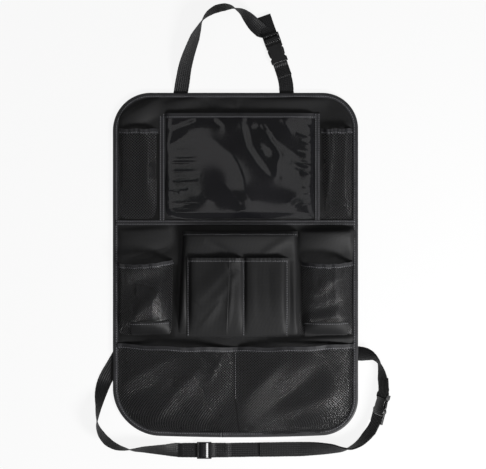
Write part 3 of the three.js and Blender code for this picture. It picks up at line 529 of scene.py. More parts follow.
# the panel's outline from where the tape's ends meet, against the clock
def outlineRing():
    points = [(binding["meet"], -halfHeight)]
    corners = ((1, -1, "bottomRight"), (1, 1, "topRight"), (-1, 1, "topLeft"), (-1, -1, "bottomLeft"))
    for turn, (sx, sy, name) in enumerate(corners):
        radius = radii[name]
        for angle in np.radians(np.linspace(90 * turn - 90, 90 * turn, 40)):
            points.append((sx * (halfWidth - radius) + radius * math.cos(angle),
                           sy * (halfHeight - radius) + radius * math.sin(angle)))
    points.append((binding["meet"] - 0.01, -halfHeight))
    ring = np.array(points)
    along = runs(ring)
    stops = np.linspace(0, along[-1], int(along[-1] / binding["spacing"]))
    x, y = follow(stops, along, ring).T
    return np.stack([x, bowed(x, y), np.zeros(len(stops))], 1), stops


def buildBinding():
    path, stops = outlineRing()
    up = np.broadcast_to([0.0, 0.0, 1.0], path.shape)
    across = np.cross(up, unit(np.gradient(path, axis=0)))  # inwards
    pucker, waver = waves(stops, binding["pucker"]), waves(stops, binding["waver"])
    fromEnd = np.minimum(stops, stops[-1] - stops)  # where the tape's two ends lie over each other
    lap = smooth(1 - fromEnd / binding["lap"]) * binding["lapRise"]
    high = face + binding["rise"] + pucker + lap
    inner = tapeWidth + waver
    outline = [
        (tapeWidth, -0.7), (tapeWidth, -0.1), (1.2, -0.1), (0.8, 0.6), (1.2, high - 0.8),
        (inner, high - 0.85), (inner + 0.15, high - 0.3), (inner - 0.5, high - 0.05),
        (5.6 + waver * 0.5, high - 0.28 - 0.5 * pucker), (3.4, high + 0.22), (1.5, high - 0.1),
        (0.5, high - 0.7), (0.0, high - 1.6), (0.0, 0.0), (0.5, -0.55), (1.6, -0.7),
    ]
    section = np.stack([np.stack(np.broadcast_arrays(a, b, stops)[:2], -1) for a, b in outline], 1)
    piece = sweep("edgeBindingTape", path, across, up, section[:, ::-1], *bindingLook, ["edge_binding"])
    row = path + across * binding["row"] + up * (high - 0.22)[:, None]
    stitches = stitchRow("edgeBindingStitches", row, up, **binding["stitches"])


# a pocket as form(u, v): flat along its sewn edges, rising inwards to its depth, open at v = 1
def pocketForm(shape):
    def form(u, v):
        u, v = np.broadcast_arrays(np.asarray(u, float), np.asarray(v, float))
        low, high = shape["bottom"](u), shape["mouth"](u)
        y = mix(low, high, v)
        x0, x1 = shape["left"](y), shape["right"](y)
        x = mix(x0, x1, u)
        margin = shape["margin"]
        flatU = margin / (x1 - x0)
        flatV = shape.get("foot", margin) / (high - low)
        s = (u - flatU) / (1 - 2 * flatU)
        climb = shape["rise"](limit((v - flatV) / (1 - flatV)))
        swell = shape["depth"] * crown(s, shape["sharpness"]) * climb
        return np.stack([x, y, face + 0.5 + swell + shape["extra"](x, y, s, climb, v)], -1)
    return form


def fixed(value):
    return lambda at: np.full(np.shape(at), float(value))


film = {
    "grid": (204, 143), "thickness": 0.3,
    "facets": [  # its lit facets: outline in the photo, lean to the right and up in degrees
        ([(165, 148), (176, 141), (188, 134), (199, 134), (212, 140), (221, 147), (232, 155),
          (239, 166), (244, 179), (245, 191), (253, 205), (240, 204), (232, 193), (224, 185),
          (216, 179), (198, 176), (182, 172), (165, 168)], -24, 2),
        ([(165, 130), (178, 124), (196, 119), (196, 122), (180, 128), (166, 134)], -22, 8),
        ([(211, 119), (217, 119), (226, 127), (222, 127)], -30, 0),
        ([(166, 196), (185, 193), (196, 193), (206, 196), (212, 202), (198, 202), (182, 204),
          (166, 202)], -32, 0),
        ([(165, 222), (166, 206), (173, 212), (186, 213), (188, 217), (205, 219), (222, 217),
          (232, 222)], -10, -20),
        ([(240, 118), (246, 118), (249, 131), (252, 146), (262, 161), (271, 173), (280, 177),
          (276, 180), (268, 176), (257, 163), (247, 147), (243, 132)], 20, -6),
        ([(262, 124), (269, 130), (276, 142), (288, 151), (300, 157), (316, 160), (316, 165),
          (306, 165), (290, 163), (300, 171), (298, 175), (288, 178), (276, 177), (277, 165),
          (281, 156), (276, 148), (268, 135)], 23, 0),
        ([(247, 124), (258, 125), (260, 128), (252, 129)], 24, 0),
        ([(259, 146), (270, 149), (274, 154), (265, 155)], 24, 0),
        ([(282, 119), (300, 119), (316, 130), (316, 134), (306, 133), (290, 132)], 24, 0),
        ([(298, 120), (304, 119), (317, 128), (317, 133)], 16, 6),
        ([(290, 200), (300, 194), (316, 190), (316, 197), (300, 203), (290, 206)], 24, 0),
        ([(232, 222), (236, 214), (243, 210), (252, 216), (268, 218), (280, 222)], 4, -22),
        ([(296, 222), (306, 217), (317, 211), (317, 218), (306, 222)], 16, -8),
    ],
    "creases": [  # tension wrinkles along its two sewn sides
        (163, 151, 206, 150, (1.6, 2.4), -0.5), (163, 163, 200, 163, (1.6, 2.6), -0.9),
        (163, 172, 200, 172, (1.8, 2.6), -0.6), (163, 157, 196, 157, (1.6, 2.2), 0.6),
        (163, 181, 198, 180, (1.6, 2.4), 0.8), (163, 190, 188, 189, (1.6, 2.4), 0.8),
        (163, 203, 200, 204, (1.6, 2.4), -0.7), (163, 208, 190, 208, (1.6, 2.4), 0.6),
        (318, 139, 296, 133, (1.6, 2.4), 0.8), (318, 146, 300, 141, (1.6, 2.4), 0.8),
        (318, 152, 298, 150, (1.6, 2.4), -0.7), (318, 163, 286, 163, (1.6, 2.0), -0.7),
        (318, 169, 290, 160, (1.6, 2.2), 0.9), (318, 178, 288, 164, (1.6, 2.2), 1.0),
        (318, 188, 302, 187, (1.6, 2.2), 0.7), (318, 194, 302, 195, (1.6, 2.2), -0.7),
        (318, 202, 300, 204, (1.6, 2.2), 0.7), (318, 214, 296, 221, (1.8, 2.6), 0.9),
    ],
}


def within(x, y, outline):
    inside = np.zeros(x.shape, bool)
    for (ax, ay), (bx, by) in zip(outline, outline[1:] + outline[:1]):
        inside ^= ((ay > y) != (by > y)) & (x < (bx - ax) * (y - ay) / (by - ay + 1e-9) + ax)
    return inside


# the sheet whose slopes come closest to the facets' leans, held at its border
def filmRelief():
    nx, ny = film["grid"]
    xs = np.linspace(tabletLeft + 1, tabletRight - 1, nx + 2)
    ys = np.linspace(seamBottom + 1, tabletTop, ny + 2)
    x, y = np.meshgrid(xs[1:-1], ys[1:-1], indexing="ij")
    slopes = np.zeros((2, nx, ny))
    for outline, *leans in film["facets"]:
        inside = within(x, y, [spot(*corner) for corner in outline])
        slopes -= inside * np.tan(np.radians(leans))[:, None, None]
    for _ in range(2):  # soften the facets' borders
        g = np.pad(slopes, ((0, 0), (1, 1), (1, 1)))
        slopes = (g[:, :-2, 1:-1] + g[:, 2:, 1:-1] + g[:, 1:-1, :-2] + g[:, 1:-1, 2:] + 2 * slopes) / 6
    stepX, stepY = xs[1] - xs[0], ys[1] - ys[0]
    spread = np.gradient(slopes[0], stepX, axis=0) + np.gradient(slopes[1], stepY, axis=1)
    (wavesX, stiffX), (wavesY, stiffY) = sineModes(nx, stepX), sineModes(ny, stepY)
    z = wavesX @ ((wavesX @ spread @ wavesY) / (stiffX[:, None] + stiffY[None])) @ wavesY
    return xs, ys, np.pad(-4 / ((nx + 1) * (ny + 1)) * z, 1)


def sineModes(count, step):
    k = np.arange(1, count + 1)
    turn = np.pi / (count + 1)
    return np.sin(np.outer(k, k) * turn), (2 - 2 * np.cos(k * turn)) / step ** 2


filmXs, filmYs, filmZs = filmRelief()


def filmHeight(x, y):
    i = limit((x - filmXs[0]) / (filmXs[1] - filmXs[0]), 0, len(filmXs) - 1.001)
    j = limit((y - filmYs[0]) / (filmYs[1] - filmYs[0]), 0, len(filmYs) - 1.001)
    a, b = i.astype(int), j.astype(int)
    left = mix(filmZs[a, b], filmZs[a, b + 1], j - b)
    right = mix(filmZs[a + 1, b], filmZs[a + 1, b + 1], j - b)
    return mix(left, right, i - a)


def filmShape(x, y, s, climb, v):
    return (filmHeight(x, y) + creases(x, y, film["creases"])) * crown(s, 30) * limit(3 * climb)


tabletForm = pocketForm({
    "left": fixed(tabletLeft + 1), "right": fixed(tabletRight - 1), "bottom": fixed(seamBottom + 1),
    "mouth": fixed(tabletTop), "depth": 6.0, "sharpness": 28, "margin": tapeWidth,
    "rise": lambda t: easeOut(t / 0.3), "extra": filmShape})


def buildTabletPocket():
    u, v = np.meshgrid(*(np.linspace(0, 1, count + 2) for count in film["grid"]), indexing="ij")
    window = clothSheet("vinylWindow", tabletForm(u, v), film["thickness"], vinyl,
                        ["tablet_window"])
    band = tapeWidth / (tabletTop - seamBottom)
    rim = tapeWidth / (tabletRight - tabletLeft)
    topTape = formTape("windowTopTape", tabletForm, (rim * 0.4, 1 - rim * 0.4), (1 - band, 1.0), 0.25,
                       tapeThickness, bindingLook, ["tablet_top_binding"], 260)
    leftTape = uprightTape("windowLeftTape", tabletLeft + tapeWidth / 2, ["tablet_left_binding"])
    rightTape = uprightTape("windowRightTape", tabletRight - tapeWidth / 2, ["tablet_right_binding"])
    inner = np.linspace(rim, 1 - rim, 300)
    row = stitchForm("windowTopStitches", tabletForm, inner, 1 - band * 0.75, 1.2)


sideTape = {
    "stations": 90, "lift": 1.45, "row": tapeWidth / 2 - 1.6, "wave": [(0.12, 1 / 2.1, 0), (0.15, 1 / 13, 0)],
}


# a flat tape running up beside the window, with a row of stitches on each side
def uprightTape(name, x, replaces):
    ys = np.linspace(seamTop - 1, tabletTop + 1, sideTape["stations"])
    path = np.stack([np.full(len(ys), x), ys, face + sideTape["lift"] + waves(ys, sideTape["wave"])], 1)
    across = np.broadcast_to([-1.0, 0.0, 0.0], path.shape)
    up = np.broadcast_to([0.0, 0.0, 1.0], path.shape)
    tape = sweep(name, path, across, up, tapeSection(tapeWidth, tapeThickness), *bindingLook, replaces)
    for side, key in ((-1, "Left"), (1, "Right")):
        row = path + np.array([side * sideTape["row"], 0, tapeThickness / 2])
        stitchRow(name + key + "Stitches", row, up)
    return tape


seam = {
    "stations": 260, "inset": 5, "thickness": 1.0, "lift": 1.9, "rows": (("Low", -2.4), ("High", 2.5)),
    "wave": [(0.12, 1 / 1.9, 0), (0.25, 1 / 19, 0), (0.15, 1 / 7, 0)],
    "stitches": {"pitch": 2.9, "length": 2.0, "width": 0.75},
}


def buildSeam():
    xs = np.linspace(-halfWidth + seam["inset"], halfWidth - seam["inset"], seam["stations"])
    middle = (seamTop + seamBottom) / 2
    path = np.stack([xs, np.full(len(xs), middle), face + seam["lift"] + waves(xs, seam["wave"])], 1)
    up = np.broadcast_to([0.0, 0.0, 1.0], path.shape)
    across = np.broadcast_to([0.0, 1.0, 0.0], path.shape)
    tape = sweep("seamTape", path, across, up, tapeSection(tapeWidth, seam["thickness"]), *bindingLook,
                 ["seam_binding"])
    rows = [stitchRow("seamStitches" + key, path + np.array([0, dy, seam["thickness"] / 2]), up,
                      **seam["stitches"]) for key, dy in seam["rows"]]


upperNets = {
    "widths": {"Left": 76, "Right": 62}, "depth": 10, "mouth": [(-1.2, math.pi, 0), (0.8, 17, 0)],
    "leftCreases": [
        (118, 184, 126, 221, 3.5, 3.0), (136, 136, 130, 200, 5, 1.6), (150, 140, 146, 200, 5, 1.4)],
    "rightCreases": [(333, 136, 326, 215, 2.6, 2.4), (345, 140, 341, 215, 5, 1.4)],
    "hem": {"steps": 120, "lift": 0.9, "elasticLift": 0.3, "elasticWidth": 0.0061, "stitchSteps": 160,
            "row": 0.75, "ripple": [(0.5, 60, 0), (0.3, 33, 1)]},
}


def leftFolds(x, y, s, climb, v):
    ridges = 1.0 * np.sin(7 * s + 3 * v) * crown(s, 2)
    return (ridges + creases(x, y, upperNets["leftCreases"])) * climb


# the right one is steep on its left side, over its folded gusset, and rounder on the right
def rightFolds(x, y, s, climb, v):
    ramp = smooth((x - tabletRight - 5) / 9)
    far = limit((halfWidth - 11.5 - x) / 9)
    ridges = creases(x, y, upperNets["rightCreases"])
    return upperNets["depth"] * climb * ramp * easeOut(far) + ridges * climb * crown(s, 3)


def buildUpperNets():
    low = seamBottom + 1
    height = upperMouth - low
    shared = {"bottom": fixed(low), "mouth": lambda u: upperMouth + waves(u, upperNets["mouth"]),
              "foot": tapeWidth, "rise": lambda t: easeOut(t / 0.6)}
    forms = {
        "Left": pocketForm({**shared, "left": leftAt, "right": fixed(tabletLeft + 3),
                            "depth": upperNets["depth"], "sharpness": 3, "margin": 8, "extra": leftFolds}),
        "Right": pocketForm({**shared, "left": fixed(tabletRight - 3), "right": rightAt,
                             "depth": 0, "sharpness": 1, "margin": 4, "extra": rightFolds})}
    nets = {key: netPiece(f"upper{key}Net", form, upperNets["widths"][key], height,
                          [f"upper_{key.lower()}_mesh_pocket"]) for key, form in forms.items()}
    for key, form in forms.items():
        width = upperNets["widths"][key]
        ends = (5.0 / width, 1 - 5.0 / width)
        hem = upperNets["hem"]
        mouth = gatherMouth("upper" + key, form, f"upper_{key.lower()}_pocket", hem, ends, ends,
                            tapeWidth / height)


document = {
    "lowMiddle": 3.3, "lowHalf": 104.5, "topMiddle": 8.3, "topHalf": 99.5, "depth": 11, "sharpness": 40,
    "rows": 92, "hem": 6.0, "ripple": [(0.15, 170, 0), (0.2, 31, 0)],
    "creases": [
        (180, 334, 184, 268, (9, 4), 4.4), (188, 337, 186, 262, 2.4, -1.4),
        (296, 335, 292, 262, 4.0, 1.4), (176, 236, 304, 236, (24, 5), 11.0),
        (205, 240, 236, 256, 6.0, -1.4), (262, 254, 290, 238, 7.0, 1.6),
        (289.5, 258, 290, 338, (3, 12), -3.0),
    ],
}


def documentShare(y):
    return (y - middleBottom) / (documentTop - middleBottom)


def documentLeft(y):
    return mix(document["lowMiddle"] - document["lowHalf"], document["topMiddle"] - document["topHalf"],
               documentShare(y))


def documentRight(y):
    return mix(document["lowMiddle"] + document["lowHalf"], document["topMiddle"] + document["topHalf"],
               documentShare(y))


def documentFolds(x, y, s, climb, v):
    return (creases(x, y, document["creases"]) + 0.4 * swells(x, y)) * climb * crown(s, 24)


documentForm = pocketForm({
    "left": documentLeft, "right": documentRight, "bottom": fixed(middleBottom),
    "mouth": fixed(documentTop), "depth": document["depth"], "sharpness": document["sharpness"],
    "margin": 4, "rise": lambda t: easeOut(t / 0.4), "extra": documentFolds})


def documentHeight(x, y):
    u = (x - documentLeft(y)) / (documentRight(y) - documentLeft(y))
    return documentForm(u, documentShare(y))[..., 2]


front = {
    "left": 3.4 - 84.5, "right": 3.4 + 84.5, "top": halfHeight - 275.5, "low": middleBottom + 1.5,
    "divider": 13.7, "pleat": -12.3, "pleatStep": 2.6, "swell": 5.5, "rows": 92, "hem": 7.0,
    "ripple": [(0.12, 150, 0), (0.15, 29, 0)],
    "creases": [
        (191, 256, 193, 338, (4, 24), 1.8), (286, 256, 286, 338, (34, 3), 4.5),
        (240, 252, 196, 302, (17, 11), 3.4), (238, 270, 198, 322, (13, 9), 2.4),
        (226, 262, 232, 276, 3.0, -1.2), (233, 275, 227, 336, (3, 5), 1.6),
        (252, 262, 254, 326, 6.0, 0.7), (268, 262, 271, 318, 7.0, -0.7),
        (196, 334, 222, 300, (9, 5), 2.2),
    ],
}
frontWidth = front["right"] - front["left"]
dividerShare = (front["divider"] - front["left"]) / frontWidth
pleatShare = (front["pleat"] - front["left"]) / frontWidth


# two swellings over the document pocket, with a step at the pleat and stitched down at the divider
def frontForm(u, v):
    u, v = np.broadcast_arrays(np.asarray(u, float), np.asarray(v, float))
    half, edge = 2 / frontWidth, 4 / frontWidth
    y = mix(front["low"], front["top"], v)
    beyond = limit((dividerShare - u) / (dividerShare - pleatShare))
    near = np.where(u < pleatShare, u / pleatShare, beyond)
    x = mix(front["left"], front["right"], u) + 6 * (v - 0.5) * near
    s = np.where(u < dividerShare, (u - edge) / (dividerShare - half - edge),
                 (u - dividerShare - half) / (1 - edge - dividerShare - half))
    behind = (pleatShare - u) * frontWidth
    step = front["pleatStep"] * np.exp(-np.maximum(behind, 0) / 14) * smooth((behind + 1.2) / 1.2)
    climb = easeOut(limit((v - edge) / (1 - edge)) / 0.6)
    swell = front["swell"] * crown(s, 12) + step * limit(8 * s)
    folds = (creases(x, y, front["creases"]) + 0.35 * swells(x * 1.7, y * 1.7)) * crown(s, 14)
    return np.stack([x, y, documentHeight(x, y) + 0.9 + (swell + folds) * climb], -1)


# columns for a sheet: (from, to, count) of each stretch, closer together where it bends
def columns(*stretches):
    return np.unique(np.concatenate([np.linspace(*stretch) for stretch in stretches]).round(9))


def pocketCloth(name, form, across, rows, replaces):
    u, v = np.meshgrid(across, np.linspace(0, 1, rows), indexing="ij")
    return clothSheet(name, form(u, v), clothThickness, polyester, replaces)


def foldedHem(name, form, ends, band, ripple):
    return formTape(name, form, ends, (1 - band, 1.0), 0.1, tapeThickness, hemLook, (), 240, ripple)


def buildMiddlePockets():
    stops = columns((0, 0.1, 30), (0.1, 0.9, 90), (0.9, 1, 30))
    pocket = pocketCloth("documentPocketCloth", documentForm, stops, document["rows"], ["document_pocket"])
    band, ripple = document["hem"] / (documentTop - middleBottom), document["ripple"]
    hemTape = foldedHem("documentHem", documentForm, (0.022, 0.978), band, ripple)
    us = np.linspace(0.03, 0.97, 300)
    row = stitchForm("documentHemStitches", documentForm, us, 1 - band * 0.75, 1.15 + waves(us, ripple))
    stops = columns((0, 0.4, 70), (0.4, 0.42, 12), (0.42, 1, 110))
    pocket = pocketCloth("frontPocketCloth", frontForm, stops, front["rows"], ["front_pocket"])
    band, ripple = front["hem"] / (front["top"] - front["low"]), front["ripple"]
    hemTape = foldedHem("frontHem", frontForm, (0.004, 0.996), band, ripple)
    us = np.linspace(0.01, 0.99, 300)
    vs = np.linspace(0.02, 1 - band * 1.1, 120)
    side = 2.2 / frontWidth
    rows = [
        stitchForm("frontHemStitches", frontForm, us, 1 - band * 0.78, 1.15 + waves(us, ripple)),
        stitchForm("frontDividerStitches", frontForm, dividerShare, vs, 0.1, width=0.9),
        stitchForm("frontLeftStitches", frontForm, side, vs, 0.1),
        stitchForm("frontRightStitches", frontForm, 1 - side, vs, 0.1),
    ]


bottle = {
    "depth": 23.5, "baseHeight": 20, "baseLap": 3, "hem": 7.5, "tightness": 1.1,
    "spread": 1.35,  # the net is wider than the pocket, because it bulges
    "mouthHem": {"steps": 200, "lift": 1.0, "elasticLift": 0.35, "elasticWidth": 0.006, "stitchSteps": 240,
                 "row": 0.8, "ripple": [(0.2, 75, 0), (0.25, 41, 1)]},
    "left": {
        "width": 104.0, "tilt": 7.5, "base": (0.26, 0.9),
        "creases": [
            (134, 262, 141, 300, (3.5, 6), 4.0), (150, 266, 112, 316, 17, -9.0),
            (184, 268, 122, 332, (9, 26), 9.0), (156, 262, 150, 300, 3.5, -3.0),
            (124, 266, 128, 300, 4.5, 2.0), (166, 262, 158, 300, 4.0, 2.6),
            (142, 322, 178, 318, 3.5, -2.6),
        ]},
    "right": {
        "width": 96.0, "tilt": 1.0, "base": (0.1, 0.86),
        "creases": [
            (309, 258, 302, 294, (2.6, 4), 4.0), (318, 262, 316, 290, 3.0, -2.6),
            (346, 268, 306, 300, (12, 7), 4.0), (356, 296, 310, 312, (6, 9), -3.4),
            (345, 314, 306, 320, (9, 5), 3.4), (338, 260, 341, 280, 4.0, 2.4),
        ]},
}


def bottleForm(side):
    own = bottle[side]
    baseShare = bottle["baseHeight"] / (bottleMouth - middleBottom)
    if side == "left":
        left, right = fixed(-halfWidth + sewnEdge), fixed(documentLeft(middleBottom) + 1)
    else:
        left, right = (lambda y: documentRight(y) - 2), fixed(halfWidth - sewnEdge)

    def mouth(u):
        return bottleMouth + own["tilt"] * (u - 0.5) - 20 * u * (1 - u) + 0.4 * np.sin(u * 34)

    def rise(t):
        first = 0.72 * easeOut(0.9 * t / baseShare)
        return np.where(t < baseShare, first, mix(0.72, 1.0, easeOut((t - baseShare) / 0.5)))

    def folds(x, y, s, climb, v):
        gathers = 0.8 * (np.sin(math.tau * 5 * s) + 0.5 * np.sin(math.tau * 11 * s + 1))
        gathers = gathers * limit((v - 0.25) * 2) * limit((1.05 - v) * 5)
        return crown(s, 2) * (gathers + creases(x, y, own["creases"]) * climb * limit((1 - v) * 7 - 0.45))

    return pocketForm({"left": left, "right": right, "bottom": fixed(middleBottom), "mouth": mouth,
                       "depth": bottle["depth"], "sharpness": 3, "margin": 5.5, "rise": rise,
                       "extra": folds})


def buildBottlePocket(side):
    own = bottle[side]
    name = "bottle" + side.capitalize()
    form = bottleForm(side)
    height = bottleMouth - middleBottom
    width = own["width"]
    split = (bottle["baseHeight"] + bottle["baseLap"]) / height
    u, v = np.meshgrid(np.linspace(*own["base"], 110), np.linspace(0, split + 0.05, 30), indexing="ij")
    base = clothSheet(name + "Base", form(u, v * 0.98) + [0, 0, 0.5], clothThickness, polyester,
                      [side + "_bottle_base"])
    wide, tall = width * bottle["spread"], height * bottle["tightness"]
    mesh = netPiece(name + "Net", form, wide, tall, [side + "_bottle_mesh"])
    mouth = gatherMouth(name, form, side + "_bottle", bottle["mouthHem"], (0.045, 0.955), (0.05, 0.95),
                        bottle["hem"] / height)
    row = stitchForm(name + "BaseStitches", form, np.linspace(*own["base"], 150), split + 0.02, 0.7)


bottom = {
    "seam": 0.4992, "seamX": -0.3, "seamHalf": 2.0, "flat": 8.0, "depth": 14, "ease": 1.02, "width": 0.204,
    "ripple": [(0.35, 120, 0), (0.4, 33, 1)],
    "creases": [
        (235.5, 391, 235, 436, 5.0, -4.5), (214, 436, 288, 350, (16, 14), 7.0),
        (232, 442, 322, 366, (24, 14), -7.5), (268, 444, 350, 384, (14, 22), 8.0),
        (152, 420, 206, 360, (14, 10), 4.4), (112, 392, 178, 350, (12, 10), 3.4),
        (108, 414, 160, 380, 12, -5.0), (134, 440, 176, 400, (12, 9), 4.0),
        (196, 444, 232, 392, 13, -4.6), (224, 352, 208, 384, (6, 5), 2.0), (240, 352, 252, 380, 6, 1.4),
        (325, 352, 352, 362, 7, 1.6), (316, 348, 338, 372, 7, -2.6),
    ],
}
bottomLow = -halfHeight + sewnEdge


# two swellings, one on each side of the seam down the middle, kept off the panel's cloth
def bottomForm(u, v):
    u, v = np.broadcast_arrays(np.asarray(u, float), np.asarray(v, float))
    sag = (0.7 * np.sin(u * 37) - 3.6 * 4 * u * (1 - u)) * limit(v)
    y = mix(bottomLow, bottomMouth + sag, v)
    x0, x1 = leftAt(y), rightAt(y)
    x = mix(x0, x1, u)
    flat, seamHalf, seamX = bottom["flat"], bottom["seamHalf"], bottom["seamX"]
    s = np.where(x < seamX, (x - x0 - flat) / (seamX - x0 - flat - seamHalf),
                 (x - seamX - seamHalf) / (x1 - seamX - flat - seamHalf))
    height = bottomMouth - bottomLow
    climb = easeOut(limit((v * height - flat) / (height - flat)) / 0.7)
    wrinkle = 1.6 * np.sin(9 * s) * np.sin(5 * v) * crown(s, 2)
    swell = bottom["depth"] * crown(s, 2.6) + wrinkle + creases(x, y, bottom["creases"]) * crown(s, 4)
    z = np.maximum(face + 0.5 + swell * climb, panelTop(x, y) + 0.6)
    return np.stack([x, bowed(x, y), z], -1)


def buildBottomPocket():
    height = bottomMouth - bottomLow
    middle, ripple = bottom["seam"], bottom["ripple"]
    wide, tall = 200 * bottom["ease"], height * bottom["ease"]
    left = netPiece("bottomLeftNet", lambda u, v: bottomForm(u * middle, v), wide, tall,
                    ["bottom_mesh_pocket"])
    right = netPiece("bottomRightNet", lambda u, v: bottomForm(mix(middle, 1, u), v), wide, tall, [])
    band = tapeWidth / height
    hemTape = formTape("bottomHem", bottomForm, (0.006, 0.994), (1 - band, 1.0), 0.4, 1.0, bindingLook,
                       ["bottom_pocket_hem"], 380, ripple)
    us, vs = np.linspace(0.01, 0.99, 500), np.linspace(0.4, 1 - band, 120)
    rows = [
        stitchForm("bottomHemStitches", bottomForm, us, 1 - band * 0.78, 1.65 + waves(us, ripple)),
        stitchForm("bottomSeamStitches", bottomForm, middle, vs, 0.5, width=0.9),
    ]


webbing = {
    "width": 24.0, "thickness": 1.4, "ribs": 7, "ribRise": 0.24, "steps": 42, "spacing": 2.2,
    "loopLap": 25.0, "sewnLap": 30.0, "tail": 200,
    "wave": [(0.008, 1 / 1.1, 0), (0.006, 1 / 6.1, 0)],
    "stitches": {"pitch": 2.6, "length": 1.9, "width": 0.7, "yarn": blackThread},
}
# routes: x, y, roll about the strap in degrees, height of the stack of webbing in layers
routes = {
    "headrest": [
        (-91.8, -0.2, 0, 1), (-88.2, 21.5, 14, 1), (-84.7, 41.6, 26, 1), (-80.1, 58.3, 36, 1),
        (-74.3, 75, 45, 1), (-67.8, 91.8, 54, 1), (-61.7, 106, 74, 1), (-55.5, 119.7, 98, 1),
        (-45, 131.7, 122, 1), (-31.8, 139.6, 134, 1), (-17.6, 142.7, 132, 1), (-7.2, 142.2, 117, 1),
        (0.8, 139.2, 96, 1), (10.4, 134.6, 74, 1), (20.9, 125.2, 48, 1), (32.6, 113, 22, 1),
        (43.5, 104, 6, 1),
    ],
    "headrestStub": [
        (78.1, 39.9, 0, 1), (81.6, 28.2, 0, 1), (84.5, 14.8, 0, 1), (85.5, -0.2, 0, 1),
    ],
    "seatLeft": [
        (1.4, 121.9, 0, 1), (-12.8, 96.4, 0, 1), (-19.7, 73.9, 30, 1), (-22.7, 52.1, 58, 1),
        (-24.5, 36.2, 73, 1), (-24.4, 22, 90, 1), (-18.3, 7.6, 107, 1), (-7.5, -5.4, 113, 1),
        (6.7, -13.8, 105, 1), (21, -17.5, 90, 1), (35.2, -19.2, 70, 1), (50.2, -18.8, 57, 1),
        (67, -19.3, 46, 1), (88.7, -20.2, 30, 1), (105, -21, 8, 1),
    ],
    "seatRight": [
        (-132.2, -20.5, 0, 2), (-97.1, -19.7, 4, 2), (-67, -17.8, 24, 2), (-43.6, -17.2, 44, 2),
        (-26.8, -17.5, 66, 2), (-12.6, -14.5, 90, 2), (1.3, -6.3, 106, 2.2), (11.7, 4.3, 118, 3.1),
        (20.4, 14.6, 122, 4.5),
    ],
    "seatStub": [
        (40.2, 85.6, 124, 3.7), (39.4, 99, 126, 2.2), (37.3, 112.3, 112, 2), (33.7, 124, 96, 1.5),
        (27.5, 131.9, 112, 1), (20, 136.1, 138, 1), (12.2, 138.6, 158, 1), (1.6, 139.8, 180, 1),
    ],
}
topEdge, leftCorner, rightCorner = (0.0, 288.0), (-205.0, -288.0), (205.0, -288.0)  # where routes start
buckle = {
    "thickness": 8.0, "barWidth": 3.0, "slot": 4.0, "barThickness": 2.1, "length": 51.0, "tailBar": 1.5,
    "headrest": (57.7, 97.6, -70.5, 0), "seat": (26.4, 26.5, 75.5, 122),  # x, y, heading and roll
}
slider = {"x": -53.0, "y": -309.8, "half": 1.65, "slot": 6.3, "bar": 3.3, "outer": 11.25}
layer = webbing["thickness"] + clearance
lowLayer = webbing["thickness"] / 2
highLayer = lowLayer + layer
overBar = layer + buckle["barThickness"] + clearance + webbing["thickness"] / 2
midBarStart = buckle["barWidth"] + buckle["slot"]
midBarEnd = midBarStart + buckle["barWidth"]
buckleEnd = buckle["length"]
tailBar = buckleEnd - buckle["barWidth"] - buckle["tailBar"]


# the webbing's middle on the floor, and its own directions, for a heading and a roll
def lean(x, y, heading, roll, stack):
    side = np.array([-math.sin(heading), math.cos(heading), 0])
    c, s = math.cos(math.radians(roll)), math.sin(math.radians(roll))
    upright = np.array([0, 0, 1.0])
    base = np.array([x, y, floorLevel + webbing["width"] / 2 * abs(s) + max(0.0, -stack * c)])
    return base, side * c + upright * s, -side * s + upright * c


# centripetal spline through the route's points: the place at t from 0 to 1
def splinePoint(points, t):
    spans = len(points) - 1
    k = min(int(t * spans), spans - 1)
    w = t * spans - k
    p1, p2 = points[k], points[k + 1]
    p0 = points[k - 1] if k > 0 else 2 * points[0] - points[1]
    p3 = points[k + 2] if k + 2 <= spans else 2 * points[-1] - points[-2]
    d0, d1, d2 = (math.sqrt(np.linalg.norm(b - a)) for a, b in ((p0, p1), (p1, p2), (p2, p3)))
    t1 = ((p1 - p0) / d0 - (p2 - p0) / (d0 + d1) + (p2 - p1) / d1) * d1
    t2 = ((p2 - p1) / d1 - (p3 - p1) / (d1 + d2) + (p3 - p2) / d2) * d1
    c2, c3 = -3 * p1 + 3 * p2 - 2 * t1 - t2, 2 * p1 - 2 * p2 + t1 + t2
    return p1 + t1 * w + c2 * w ** 2 + c3 * w ** 3


# stations of a strap along a route from a place: middle of the webbing and its direction across
def along(place, route, height, perSpan=5):
    points = [np.array([place[0] + x, place[1] + y], float) for x, y, _, _ in route]
    spans = len(route) - 1
    stations = []
    for t in np.linspace(0, 1, spans * perSpan + 1):
        ahead, behind = splinePoint(points, min(1, t + 1e-3)), splinePoint(points, max(0, t - 1e-3))
        k = min(int(t * spans + 1e-9), spans - 1)
        roll, layers = (mix(route[k][field], route[k + 1][field], t * spans - k) for field in (2, 3))
        heading = math.atan2(*(ahead - behind)[::-1])
        base, across, normal = lean(*splinePoint(points, t), heading, roll, layers * layer - clearance)
        stations.append((base + normal * height, across))
    return stations


# place, forward, normal and across of a buckle that lies at a corner of the panel
def buckleAxes(place, x, y, heading, roll):
    heading = math.radians(heading)
    base, across, normal = lean(place[0] + x, place[1] + y, heading, roll, buckle["thickness"])
    return base, np.cross(normal, -across), normal, across


# stations from points that are given forward and up in a buckle's own directions
def threaded(axes, points):
    base, forward, normal, across = axes
    return [(base + forward * y + normal * z, across) for y, z in points]


# half a turn round a bar, between the layer under it and the one over it
def halfTurn(y, toRight, fromLow):
    radius, middle = (overBar - lowLayer) / 2, (lowLayer + overBar) / 2
    points = [(y + (1 if toRight else -1) * radius * math.sin(a), middle - radius * math.cos(a))
              for a in np.linspace(0, math.pi, 9)]
    return points if fromLow else points[::-1]


